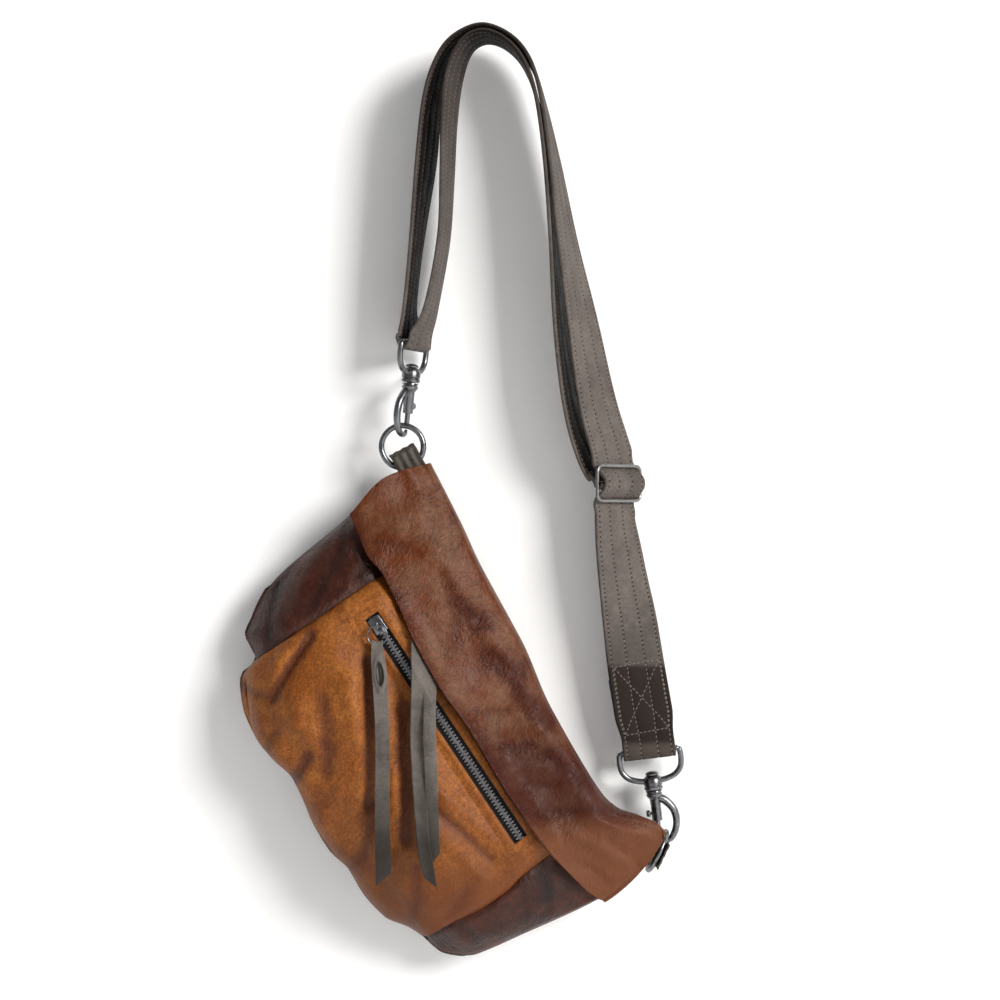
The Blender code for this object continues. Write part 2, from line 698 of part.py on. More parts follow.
def make_slider(name, line, u, eye, turn):
    """A cap that rides over the closed teeth, with a staple that holds the pull; returns the staple's eye."""
    half, wide = SLIDER_LONG / 2, SLIDER_WIDE / 2
    body = block((-half, -wide, 0.2), (half, wide, SLIDER_HIGH))
    tunnel = block((-half - 1, -3.1, -1.0), (half + 1, 3.1, TEETH_THICK + 0.35))
    body = combine(body, tunnel, "DIFFERENCE")
    staple = block((-1.1, -3.4, SLIDER_HIGH - 0.6), (1.1, 3.4, SLIDER_HIGH + eye + 2.6))
    hole = block((-3.0, -2.1, SLIDER_HIGH + 0.6), (3.0, 2.1, SLIDER_HIGH + eye + 1.5))
    staple = combine(staple, hole, "DIFFERENCE")
    frame = slider_frame(line, u)
    staple.transform(Matrix.Rotation(turn, 4, "Z"))
    body = combine(body, staple, "UNION")
    body.transform(frame)
    slider = add_object(name, body, NICKEL, smooth=False)
    set_origin(slider, frame.translation / MM)
    return frame @ Vector((0, 0, (SLIDER_HIGH + eye) * MM)) / MM


def hang_strip(name, route, pivot, lie=None):
    """A strip of leather along a route of (x, y, z, width) points; lie can shift its face onto a surface."""
    spots = smooth_path([Vector(p) for p in route], 3)
    count = len(spots) - 1

    def place(s, t):
        spot = spots[round(s * count)]
        point = spot.xyz + Vector(((t - 0.5) * spot.w, 0, 0))
        return lie(point) if lie else point

    strip = sheet(name, count, 2, place, STRIP_THICK, TAUPE, -Y_AXIS)
    return set_origin(strip, pivot)


def make_pulls():
    eye = make_slider("pocket_slider", POCKET_ZIP, POCKET_SLIDER_U, POCKET_EYE, BAG_TILT)
    centre = eye + Vector((0.0, 0.0, -PULL_RING_R))
    circle = [centre + Vector((math.sin(a), 0, math.cos(a))) * PULL_RING_R for a in turn_angles(20)]
    ring = add_object("pocket_pull_ring", tube(circle, PULL_WIRE_R, closed=True), NICKEL)
    set_origin(ring, eye)
    low = centre + Vector((0, 0, -PULL_RING_R))
    hang_strip("pocket_pull_strip", looped_route(low), low)
    eye = make_slider("main_slider", MAIN_ZIP, MAIN_SLIDER_U, MAIN_EYE, BAG_TILT + math.pi / 2)
    hang_strip("main_pull_strip", tucked_route(eye), eye, under_flap)


def looped_route(low):
    """A strip that goes round the ring's lowest wire and hangs in front of the belly."""
    x, y, z = low
    r = PULL_WIRE_R + PULL_CLEAR + STRIP_THICK
    return [(x, y + r, z - 1.5, 3.4), (x, y + r * 0.7, z + r * 0.7, 3.4), (x, y, z + r, 3.4),
            (x, y - r * 0.7, z + r * 0.7, 3.4), (x, y - r, z - 2.0, 3.6), (x, y - r - 1.0, z - 9.0, 8.4),
            (x + 0.5, POCKET_STRIP_Y, z - 45.0, STRIP_WIDE), (x + 1.0, POCKET_STRIP_Y, z - 150.0, STRIP_WIDE)]


def tucked_route(eye):
    """A strip from the main slider's staple down between pouch and flap, then out in front of the pocket zip."""
    x, y, z = eye
    front = y - STRIP_THICK / 2
    return [(x, front, z + 4.5, 3.2), (x, front, z - 4.5, 3.2), (x - 1.0, front - 1.0, z - 14.0, 8.0),
            (x - 3.0, front - 21.5, z - 28.0, STRIP_WIDE), (x - 4.0, front - 22.8, z - 36.0, STRIP_WIDE),
            (x - 4.0, front - 24.2, z - 47.0, STRIP_WIDE), (x - 3.5, front - 26.2, z - 60.0, STRIP_WIDE),
            (x - 3.0, front - 28.8, z - 76.0, STRIP_WIDE), (x - 2.0, MAIN_STRIP_Y, z - 95.0, STRIP_WIDE),
            (x + 2.0, MAIN_STRIP_Y, z - 184.0, STRIP_WIDE)]


def under_flap(point):
    """Keeps a strip that runs under the flap midway between the pouch and the flap."""
    away = point - BAG_ORIGIN
    u, v = away.dot(U_AXIS), away.dot(V_AXIS)
    pouch = front_y(u, v)
    cover = min(plump_y(u, v), pouch) - FLAP_LIFT + LEATHER
    edge = hermite(FLAP_EDGE, u)
    tucked = smooth_step(45.0, 50.0, v) * (1 - smooth_step(edge + 0.6, edge + 8.5, v))
    return Vector((point.x, lerp(point.y, (pouch + cover - STRIP_THICK) / 2, tucked), point.z))


def turn_angles(count):
    return [2 * math.pi * k / count for k in range(count)]


# Rings and tabs

def make_ring(name, centre, run, across):
    points = [centre + (run * math.cos(a) + across * math.sin(a)) * RING_R for a in turn_angles(24)]
    ring = add_object(name, tube(points, RING_WIRE_R, closed=True), NICKEL)
    set_origin(ring, centre)


def make_tab(name, centre, leg, wide, legs_long):
    """A strip folded through the ring: a bend at the ring's middle and two legs that run to the bag."""
    out = leg.cross(wide).normalized()
    reach = TAB_GAP / 2 + TAB_LEATHER
    section = [(legs_long, reach), (0.0, reach)]
    section += [(-math.sin(a) * reach, math.cos(a) * reach) for a in half_turn(6)]
    section += [(0.0, -reach), (legs_long, -reach)]
    points = [centre + leg * a + out * b for a, b in section]
    count = len(points) - 1

    def place(s, t):
        return points[round(s * count)] + wide * (t - 0.5) * TAB_WIDE

    tab = sheet(name, count, 2, place, TAB_LEATHER, TAUPE, -leg)
    return tab


def half_turn(steps, ends=False):
    first = 0 if ends else 1
    return [math.pi * k / steps for k in range(first, steps + 1 - first)]


def wire_in_hook(at, down, bulge_way):
    """Where a snap's hook holds the middle of its ring's wire."""
    x, z = WIRE_IN_HOOK
    return snap_frame(at, down, bulge_way) @ (Vector((x, 0, z)) * MM) / MM


def make_rings():
    up = Vector((0, 0, 1))
    left = wire_in_hook(UPPER_SNAP, UPPER_DOWN, UPPER_BULGE) - up * RING_R
    make_ring("ring_left", left, Matrix.Rotation(LEFT_RING_TURN, 3, "Z") @ Vector((1, 0, 0)), up)
    make_tab("ring_tab_left", left + U_AXIS * 4.8 + V_AXIS * 1.4, U_AXIS, V_AXIS, 13.5)
    right = wire_in_hook(LOWER_SNAP, LOWER_DOWN, LOWER_BULGE) - RIGHT_RING_RUN * RING_R
    make_ring("ring_right", right, Y_AXIS, RIGHT_RING_RUN)
    make_tab("ring_tab_right", right - Y_AXIS * 7.0, -Y_AXIS, RIGHT_RING_RUN, 8.4)


# Swivel snaps

def snap_frame(at, down, bulge_way):
    up = -down.normalized()
    x = (bulge_way - up * bulge_way.dot(up)).normalized()
    frame = Matrix((x, up.cross(x), up)).transposed().to_4x4()
    frame.translation = at * MM
    return frame


def eye_mesh(turn):
    """A D-shaped eye with a bored boss; turn sets the eye's width round the snap's axis."""
    corner = 2.4
    path = [(-BOSS_R + 1.5, 0, BOSS_HIGH - 4.0), (-EYE_HALF + 6.0, 0, BOSS_HIGH - 1.0), (-EYE_HALF, 0, EYE_BAR_Z - 10.0)]
    path += [(-EYE_HALF, 0, EYE_BAR_Z - corner), (-EYE_HALF + corner * 0.3, 0, EYE_BAR_Z - corner * 0.3),
             (-EYE_HALF + corner, 0, EYE_BAR_Z)]
    path += [(-x, y, z) for x, y, z in reversed(path)]
    loop = tube(path, EYE_WIRE_R, smooth_sides=2)
    boss = cylinder(BOSS_R, BOSS_LOW, BOSS_HIGH)
    mesh = combine(loop, boss, "UNION")
    mesh = combine(mesh, cylinder(POST_R + POST_CLEAR, BOSS_LOW - 2, BOSS_HIGH + 2, 16), "DIFFERENCE")
    mesh.transform(Matrix.Rotation(turn, 4, "Z"))
    return mesh


def hook_mesh():
    """Swivel post, flange, slotted barrel and hook in one piece, open where the bolt slides."""
    post = cylinder(POST_R, 1.0, BOSS_HIGH + 1.0, 16)
    head = cylinder(BOSS_R - 1.6, BOSS_HIGH + 0.4, BOSS_HIGH + 2.4)
    flange = cylinder(BOSS_R - 0.8, 0.0, BOSS_LOW - 0.4)
    barrel = cylinder(BARREL_R, BARREL_LOW, 0.5, 16)
    arm = tube([Vector((x, 0, z)) for x, z in along_path(HOOK_PATH, 14)], HOOK_ROD_R, smooth_sides=2)
    mesh = combine(combine(combine(post, head, "UNION"), flange, "UNION"), barrel, "UNION")
    mesh = combine(mesh, arm, "UNION")
    mesh = combine(mesh, cylinder(BARREL_BORE_R, BARREL_LOW - 1, -1.2, 14), "DIFFERENCE")
    slot = block((-BARREL_R - 3, -1.25, KNOB_Z - 1.5), (0, 1.25, KNOB_Z + BOLT_TRAVEL + 1.8))
    return combine(mesh, slot, "DIFFERENCE")


def along_path(path, count):
    return [(spot.x, spot.z) for spot in along([Vector((x, 0, z)) for x, z in path], count)]


def bolt_mesh():
    """Sliding bolt with a thumb knob that stands out of the barrel's slot."""
    rod = cylinder(BOLT_R, BOLT_LOW, BOLT_HIGH, 14)
    stem = cylinder(0.9, 0.0, KNOB_OUT - 1.0, 10)
    stem.transform(Matrix.Translation((0, 0, KNOB_Z * MM)) @ Matrix.Rotation(-math.pi / 2, 4, "Y"))
    knob = cylinder(2.2, KNOB_OUT - 2.6, KNOB_OUT, 14)
    knob.transform(Matrix.Translation((0, 0, KNOB_Z * MM)) @ Matrix.Rotation(-math.pi / 2, 4, "Y"))
    return combine(combine(rod, stem, "UNION"), knob, "UNION")


def spring_mesh():
    turns = 5
    steps = 6
    low, high = BOLT_HIGH + 0.5, -1.8
    points = []
    for k in range(turns * steps + 1):
        a = 2 * math.pi * k / steps
        z = lerp(low + 0.4, high - 0.4, k / (turns * steps))
        points.append(Vector((1.25 * math.cos(a), 1.25 * math.sin(a), z)))
    return tube(points, 0.3, smooth_sides=0)


def make_snap(prefix, at, down, bulge_way, eye_run):
    frame = snap_frame(at, down, bulge_way)
    run = frame.to_3x3().inverted() @ eye_run
    pieces = (("eye", eye_mesh(math.atan2(run.y, run.x)), NICKEL), ("hook", hook_mesh(), NICKEL),
              ("bolt", bolt_mesh(), NICKEL), ("spring", spring_mesh(), SPRING_STEEL))
    for word, mesh, look in pieces:
        mesh.transform(frame)
        set_origin(add_object(f"{prefix}_{word}", mesh, look), at)


# Strap and buckle

def strap_width(spot):
    """The strap is drawn in where it bends round a snap's eye."""
    bars = [eye_bar(UPPER_SNAP, UPPER_DOWN), eye_bar(LOWER_SNAP, LOWER_DOWN)]
    near = min((spot - bar).length for bar in bars)
    return lerp(STRAP_NARROW, STRAP_WIDE, smooth_step(9.0, 26.0, near))


def strap_stations(run, rise):
    """Stations on a run: each is a centre, a unit width direction and a unit outward direction."""
    spots = smooth_path([Vector(p) for p in run], STRAP_STEPS)
    last = len(spots) - 1
    stations = []
    for k, spot in enumerate(spots):
        ahead = (spots[min(k + 1, last)] - spots[max(k - 1, 0)]).xyz.normalized()
        turn = math.radians(spot.w)
        wide = Vector((math.sin(turn), math.cos(turn), rise))
        wide = (wide - ahead * wide.dot(ahead)).normalized()
        stations.append((spot.xyz, wide, ahead.cross(wide)))
    return stations


def make_strap_run(name, run, rise):
    """A strap of even thickness, lofted through the four corners of each station."""
    work = bmesh.new()
    loops = []
    for centre, wide, out in strap_stations(run, rise):
        side = wide * strap_width(centre) / 2
        face = out * STRAP_THICK / 2
        corners = (centre + side + face, centre - side + face, centre - side - face, centre + side - face)
        loops.append([work.verts.new(corner * MM) for corner in corners])
    for a, b in zip(loops, loops[1:]):
        for k in range(4):
            work.faces.new((a[k - 1], a[k], b[k], b[k - 1]))
    work.faces.new(loops[0])
    work.faces.new(loops[-1])
    bmesh.ops.recalc_face_normals(work, faces=work.faces)
    mesh = bpy.data.meshes.new(name)
    work.to_mesh(mesh)
    work.free()
    add_object(name, mesh, TAUPE)


def eye_bar(at, down):
    return at - down.normalized() * EYE_BAR_Z


def run_side(turn):
    """The way a strap faces where its width is turned by so many degrees."""
    return Vector((math.cos(math.radians(turn)), -math.sin(math.radians(turn)), 0.0))


def under_bar(bar, wide, down, wire_r, turn):
    """Half a turn of strap under a bar, from its back to its front."""
    radius = wire_r + LOOP_CLEAR + STRAP_THICK / 2
    side = down.cross(wide).normalized() * radius
    low = down.normalized() * radius
    return tuple((*(bar - side * math.cos(a) + low * math.sin(a)), turn) for a in half_turn(6, ends=True))


def make_strap():
    make_strap_run("strap_outer", OUTER_RUN, 0.0)
    upper = eye_bar(UPPER_SNAP, UPPER_DOWN)
    start = under_bar(upper, UPPER_EYE_RUN, UPPER_DOWN, EYE_WIRE_R, UPPER_TURN)
    end = under_bar(buckle_bar_middle(), buckle_wide(), Vector((0, 0, -1)), BUCKLE_WIRE_R, BUCKLE_TURN)
    make_strap_run("strap_inner", start + INNER_RUN + end, 0.0)
    lower = eye_bar(LOWER_SNAP, LOWER_DOWN)
    loop = under_bar(lower, LOWER_BULGE, LOWER_DOWN, EYE_WIRE_R, LOWER_TURN)
    make_strap_run("strap_lower", LOWER_END_RUN + loop + LOWER_RUN, LOWER_BULGE.z)


def buckle_wide():
    return Vector((0, 0, 1)).cross(run_side(BUCKLE_TURN))


def buckle_bar_middle():
    return BUCKLE_AT - run_side(BUCKLE_TURN) * BUCKLE_BAR_BACK


def make_buckle():
    up = Vector((0, 0, 1))
    wide = buckle_wide()
    corner = 2.5
    path = []
    for sx, sz in ((1, 1), (-1, 1), (-1, -1), (1, -1)):
        centre = (sx * (BUCKLE_HALF_WIDE - corner), sz * (BUCKLE_HALF_HIGH - corner))
        start = math.atan2(sz, sx) - math.pi / 4
        for k in range(4):
            a = start + math.pi / 2 * k / 3
            path.append((centre[0] + corner * math.cos(a), centre[1] + corner * math.sin(a)))
    frame = tube([BUCKLE_AT + wide * a + up * b for a, b in path], BUCKLE_WIRE_R, closed=True, smooth_sides=2)
    add_object("buckle_frame", frame, NICKEL)
    reach = BUCKLE_HALF_WIDE - BUCKLE_WIRE_R - 0.35
    middle = buckle_bar_middle()
    add_object("buckle_bar", tube([middle - wide * reach, middle + wide * reach], BUCKLE_WIRE_R, smooth_sides=2), NICKEL)


def main():
    clear_scene()
    parts_collection()
    make_panels()
    make_flap()
    make_zip("pocket_zip", POCKET_ZIP, lambda u: 0.0, POCKET_PITCH)
    make_zip("main_zip", MAIN_ZIP, mouth_half, MAIN_PITCH)
    make_pulls()
    make_rings()
    make_snap("upper_snap", UPPER_SNAP, UPPER_DOWN, UPPER_BULGE, UPPER_EYE_RUN)
    make_snap("lower_snap", LOWER_SNAP, LOWER_DOWN, LOWER_BULGE, LOWER_BULGE)
    make_strap()
    make_buckle()


main()
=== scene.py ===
import math

import bmesh
import bpy
import numpy as np
from mathutils import Matrix, Vector, noise


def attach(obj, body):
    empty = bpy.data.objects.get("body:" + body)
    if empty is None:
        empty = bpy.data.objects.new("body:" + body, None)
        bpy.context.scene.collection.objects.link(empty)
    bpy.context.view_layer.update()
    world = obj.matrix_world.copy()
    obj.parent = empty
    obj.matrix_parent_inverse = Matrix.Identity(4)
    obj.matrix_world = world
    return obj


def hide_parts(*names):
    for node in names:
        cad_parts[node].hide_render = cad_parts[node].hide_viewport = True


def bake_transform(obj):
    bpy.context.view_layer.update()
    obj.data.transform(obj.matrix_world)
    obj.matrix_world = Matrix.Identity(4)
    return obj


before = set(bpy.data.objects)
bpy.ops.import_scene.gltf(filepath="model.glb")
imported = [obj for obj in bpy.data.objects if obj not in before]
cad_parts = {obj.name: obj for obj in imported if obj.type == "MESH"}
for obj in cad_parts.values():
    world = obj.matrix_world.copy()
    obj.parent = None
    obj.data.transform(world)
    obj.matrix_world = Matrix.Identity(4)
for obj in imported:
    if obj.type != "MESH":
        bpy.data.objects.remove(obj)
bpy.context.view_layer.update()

bl_info = {
    "name": "Leather sling bag",
    "version": (1, 0, 0),
    "blender": (4, 5, 0),
    "location": "3D View > Sidebar > Sling bag",
    "description": "Leather, zips, strap and fittings of a soft sling bag, laid over its CAD frame",
    "category": "Add Mesh",
}

# Lengths in this file are millimetres in the frame's own axes; meshes are made in metres.
MM = 0.001

# The bag hangs aslant: u runs along the fold of the flap, v from the fold to the bottom, y is the depth.
BAG_ORIGIN = np.array((-38.1, 0.0, -268.9))
BAG_TILT = math.radians(62.0)
U_AXIS = np.array((math.cos(BAG_TILT), 0.0, -math.sin(BAG_TILT)))
V_AXIS = np.array((-math.sin(BAG_TILT), 0.0, -math.cos(BAG_TILT)))
Y_AXIS = np.array((0.0, 1.0, 0.0))
SEAM_Y = 6.2
SKIRT = 2.5
BELLY = 41.0
BACK_SEAM_Y = 6.8
BACK_SWELL = 21.4
BACK_FLAT_SHARE = 0.7

POCKET_ZIP = {"start": 68.0, "end": 237.5, "v": 76.3, "slope": -0.1, "y": -28.0, "flat": 8.0, "fade": 26.0}
MAIN_ZIP = {"start": 32.0, "end": 238.0, "v": 42.7, "slope": -0.085, "y": -12.0, "flat": 13.0, "fade": 25.0}
WINDOW_HALF = 4.8
MOUTH_HALF = 5.5
TAPE_HALF = 8.0
TAPE_BACK = 2.7
CLOTH_THICK = 0.6
FLAP_LIFT = 8.2
FLAP_END_U = 245.0
FLAP_SHARE = 0.8
EAR_END_Y = -3.4
EAR_ROUND = 3.6

# Folds pressed into the leather, whose valleys also get painted shade: a line of (u, v) points, its half
# width and its height
POUCH_FOLDS = (
    (((58, 126), (68, 146)), 4.5, 1.6), (((62, 116), (74, 139), (85, 156)), 3.2, -3.0),
    (((92, 140), (106, 149), (113, 146)), 5.5, 2.2),
    (((79, 109), (117, 112), (142, 118), (164, 130)), 7.0, 1.8),
    (((100, 126), (120, 134), (140, 146)), 6.0, -1.6), (((138, 172), (132, 160), (126, 152)), 4.0, -2.4),
    (((180, 91), (202, 81), (226, 74)), 3.6, 1.9), (((188, 99), (214, 89), (236, 82)), 3.0, -1.7),
    (((200, 104), (226, 96), (244, 92)), 4.2, 1.5), (((255, 150), (238, 136), (220, 126)), 4.5, -1.9),
    (((204, 168), (196, 150), (184, 136)), 5.0, -1.5), (((240, 158), (224, 142), (206, 130)), 5.0, 1.4),
    (((70, 172), (80, 162)), 3.5, -1.4), (((168, 172), (160, 152), (152, 142)), 5.0, 1.3),
    (((112, 176), (104, 164)), 4.0, -1.4), (((246, 104), (256, 122)), 4.0, -1.3),
    (((93, 91), (134, 113), (170, 132)), 4.8, -3.2), (((97, 104), (130, 122)), 5.5, 1.8),
    (((128, 85), (167, 104), (200, 122)), 4.8, -2.6), (((160, 108), (182, 119)), 3.4, 1.3),
)
LEFT_FOLDS = (
    (((6, 62), (26, 78), (44, 104)), 3.0, -1.1), (((10, 82), (30, 106), (50, 128)), 5.0, 1.3),
    (((24, 122), (40, 134), (52, 142)), 3.0, -1.2), (((14, 104), (28, 124)), 3.5, -0.8),
    (((30, 66), (46, 84)), 4.0, 0.8),
)
RIGHT_FOLDS = (
    (((262, 58), (284, 66)), 3.0, -1.0), (((264, 92), (288, 98)), 5.0, 1.1),
    (((266, 118), (284, 114)), 3.2, -1.0), (((266, 76), (290, 84)), 3.0, -0.7),
    (((268, 136), (280, 130)), 3.0, -0.9),
)
FLAP_FOLDS = (
    (((10, 14), (53, 30), (92, 41), (140, 44)), 9.0, 1.3), (((87, 26), (101, 20)), 8.0, -2.0),
    (((125, 25), (143, 15)), 8.0, -2.4), (((157, 18), (178, 10)), 7.0, -2.2),
    (((66, 27), (75, 25)), 6.0, -1.2), (((198, 21), (224, 8)), 6.0, -1.8),
    (((118, 54), (128, 36)), 5.0, -0.5), (((150, 51), (161, 30)), 2.8, -1.0),
    (((164, 46), (174, 27)), 3.6, 0.9), (((176, 48), (188, 26)), 2.8, -1.2),
    (((192, 47), (203, 24)), 3.6, 1.0), (((206, 46), (216, 24)), 2.8, -1.2),
    (((226, 45), (237, 20)), 3.2, -1.4), (((30, 52), (44, 34)), 5.0, -0.9),
    (((240, 12), (263, -7)), 3.8, -1.8), (((247, 31), (282, 8)), 5.0, 1.6),
    (((252, 40), (288, 25)), 3.0, -1.4), (((256, 4), (276, -12)), 3.6, 1.3),
    (((262, 12), (288, 4)), 3.0, -1.2),
)

# Rings, snaps and buckle
RING_R = 13.4
RING_WIRE_R = 1.85
TAB_WIDE = 18.0
TAB_REACH = 3.8
TAB_THICK = 1.3
TAB_ROWS = 24
WIRE_IN_HOOK = Vector((4.7, 0.0, -24.9))
RIGHT_RING_RUN = Vector((0.432, 0.0, 0.902)).normalized()
EYE_BAR_Z = 28.0
EYE_WIRE_R = 1.9
SPRING_ENDS = (-2.2, -9.1)
UPPER_SNAP = {"at": Vector((-51.0, 6.0, -220.9)), "down": Vector((-0.096, 0.038, -0.995)),
              "bulge": Vector((-0.5, -0.87, 0.0)), "run": Vector((0.37, 0.93, 0.0))}
LOWER_SNAP = {"at": Vector((105.5, 15.0, -482.0)), "down": Vector((0.118, 0.0, -0.993)),
              "bulge": Vector((1.0, 0.0, 0.118)), "run": Vector((1.0, 0.0, 0.118))}
HOOK_PATH = ((0.6, -1.6), (3.4, -2.8), (6.8, -5.0), (10.9, -10.5), (12.2, -17.0), (11.0, -23.5), (7.8, -28.8),
             (3.8, -30.6), (0.9, -29.6), (0.0, -27.4))
BUCKLE_AT = Vector((82.2, 5.3, -282.4))
BUCKLE_HALF = (20.8, 11.0)
BUCKLE_WIRE_R = 1.2
BUCKLE_TURN = 44
BUCKLE_CORNER = 4.0

# The strap is one length: from its sewn end round the lower eye, up over the top to the upper eye,
# back under itself over the top, and round the buckle's bar. Each point is (x, y, z, turn of its width).
SEWN_END = ((94.0, 14.4, -405.0, 76), (97.6, 15.6, -424.0, 80), (101.0, 18.0, -444.0, 86))
LOWER_RUN = ((100.6, 11.0, -443.0, 84), (97.0, 10.6, -421.3, 79), (92.9, 10.4, -395.5, 74),
             (89.3, 9.6, -369.8, 67), (85.1, 8.6, -344.1, 57), (81.8, 7.2, -322.0, 50),
             (80.0, 7.3, -307.0, 44), (79.9, 7.4, -300.6, 44))
OUTER_RUN = ((79.3, 8.1, -293.8, 44), (84.9, 2.7, -286.2, 44), (85.9, 1.7, -282.4, 44),
             (84.9, 2.7, -278.6, 44), (79.3, 8.1, -271.0, 44), (76.8, 6.8, -260.0, 44),
             (68.0, 4.1, -229.3, 41), (58.7, 3.2, -178.4, 32), (49.1, 2.3, -127.6, 21),
             (41.0, 1.4, -76.9, 12), (33.5, 0.7, -38.9, 6), (26.2, 0.2, -16.0, 5), (14.0, 0.0, -1.6, 5),
             (-3.0, 0.0, 4.9, 6), (-20.0, 0.0, -1.6, 6), (-30.4, 0.3, -15.0, 8), (-36.6, 0.8, -38.8, 14),
             (-40.6, 1.6, -76.8, 16), (-46.7, 2.7, -127.6, 9), (-51.0, 4.4, -168.0, 8),
             (-51.9, 6.6, -182.0, 16), (-51.7, 7.4, -190.4, 22))
INNER_RUN = ((-43.0, 4.6, -186.0, 18), (-37.4, 3.8, -170.0, 9), (-29.6, 2.7, -127.6, 8),
             (-27.4, 1.9, -90.0, 10), (-26.0, 1.1, -51.5, 12), (-22.8, 0.6, -24.0, 13), (-15.0, 0.0, -5.2, 9),
             (-3.0, 0.0, 1.3, 6), (10.4, 0.0, -3.4, 5), (21.8, 0.2, -16.2, 4), (29.8, 0.4, -38.5, 4),
             (35.6, 0.6, -77.0, 5), (40.0, 0.9, -127.8, 7), (44.4, 1.3, -178.6, 13), (49.6, 2.2, -216.0, 18),
             (56.4, 5.2, -243.0, 26), (65.0, 10.2, -262.0, 36), (72.9, 14.3, -273.0, 44),
             (77.2, 10.2, -278.6, 44))
STRAP_NARROW = 33.6
STRAP_STEP = 2.6
LOWER_RISE = 0.118
STITCH_ROWS = (-16.2, -6.2, 6.2, 16.2)
STITCH_START = 3.0
BOX_HEIGHTS = (-443.0, -400.0)
BOX_HALF = 15.5


def size_setting(name, description, default):
    return bpy.props.FloatProperty(name=name, description=description, default=default, unit="LENGTH")


def colour_setting(name, description, default):
    return bpy.props.StringProperty(name=name, description=description, default=default)


class BagSizes(bpy.types.PropertyGroup):
    """Sizes of the soft pieces that a user would change."""
    leather: size_setting("Leather", "Thickness of the bag's panels", 0.0018)
    fold_height: bpy.props.FloatProperty(name="Fold height",
                                         description="How strongly folds stand out, 1 as measured",
                                         default=1.0, subtype="FACTOR")
    strap_width: size_setting("Strap width", "Full width of the shoulder strap", 0.038)
    strap_thickness: size_setting("Strap thickness", "Thickness of the shoulder strap", 0.0026)
    stitch_pitch: size_setting("Stitch pitch", "Distance from stitch to stitch", 0.0029)
    strip_width: size_setting("Pull strip width", "Width of the zips' leather pulls", 0.009)


class BagColours(bpy.types.PropertyGroup):
    """Colours as sRGB hex values."""
    chestnut: colour_setting("Flap", "Body colour of the flap's leather", "#5c2c12")
    # The flap's dark colour: random darker patches, painted shade in the fold valleys and a darker band along
    # the hem.
    chestnut_dark_and_shade: colour_setting("Flap, dark", "Oiled patches of the flap", "#431a08")
    # The flap's worn colour is a painted grey sheen as well as rubbed patches, on its raised parts.
    chestnut_sheen_and_wear: colour_setting("Flap, worn", "Rubbed patches of the flap", "#74523c")
    dark: colour_setting("Ends", "Body colour of the end panels and back", "#3a160a")
    # The end panels' dark colour: random darker patches and painted shade in the fold valleys.
    dark_deep_and_shade: colour_setting("Ends, dark", "Creases of the end panels", "#1b0804")
    dark_worn: colour_setting("Ends, worn", "Rubbed places of the end panels", "#552a16")
    tan: colour_setting("Pouch", "Body colour of the pouch", "#834713")
    # The pouch's dark colour: random darker patches, a browner bottom and painted shade in the fold valleys.
    tan_dark_and_shade: colour_setting("Pouch, dark", "Handled parts of the pouch", "#5c2f14")
    tan_worn: colour_setting("Pouch, light", "Brushed parts of the pouch", "#ab6a2b")
    taupe: colour_setting("Strap", "Body colour of the strap", "#59524e")
    # The strap's dark colour: its oiled sewn end, and painted shade on its upper part and in the pull strip's
    # slit.
    taupe_dark_and_shade: colour_setting("Strap, dark", "Oiled end and edges of the strap", "#1e1512")
    taupe_worn: colour_setting("Strap, worn", "Rubbed parts of the strap", "#716963")
    # The strap's inner face, and painted shade on the downward faces of its upper part.
    strap_inside_and_shade: colour_setting("Strap, inside", "Inner face of the strap", "#0b0605")
    thread: colour_setting("Thread", "Stitching of the strap", "#857b72")
    strip: colour_setting("Pull strips", "Leather of the zip pulls", "#66605a")
    tape: colour_setting("Zip tape", "Woven tape of both zips", "#15171a")
    lining: colour_setting("Lining", "Cotton lining inside the bag", "#a08a6c")
    nickel: colour_setting("Nickel", "Rings, snaps and sliders", "#7d7e81")
    gunmetal: colour_setting("Teeth", "Zip teeth", "#96969a")


def sizes():
    return bpy.context.scene.bag_sizes


def colours():
    return bpy.context.scene.bag_colours


# Small maths on arrays

def smooth_curve(knots):
    """A function through (x, value) knots, smooth and without overshoot."""
    xs, ys = np.array(knots, float).T
    slopes = np.diff(ys) / np.diff(xs)
    before, after = slopes[:-1], slopes[1:]
    total = before + after
    middle = np.where(before * after > 0, 2 * before * after / np.where(total == 0, 1, total), 0)
    tangents = np.concatenate((slopes[:1], middle, slopes[-1:]))

    def value(x):
        x = np.clip(x, xs[0], xs[-1])
        i = np.clip(np.searchsorted(xs, x, side="right") - 1, 0, len(xs) - 2)
        step = xs[i + 1] - xs[i]
        t = (x - xs[i]) / step
        return ((2 * t ** 3 - 3 * t ** 2 + 1) * ys[i] + (t ** 3 - 2 * t ** 2 + t) * step * tangents[i]
                + (3 * t ** 2 - 2 * t ** 3) * ys[i + 1] + (t ** 3 - t ** 2) * step * tangents[i + 1])

    return value


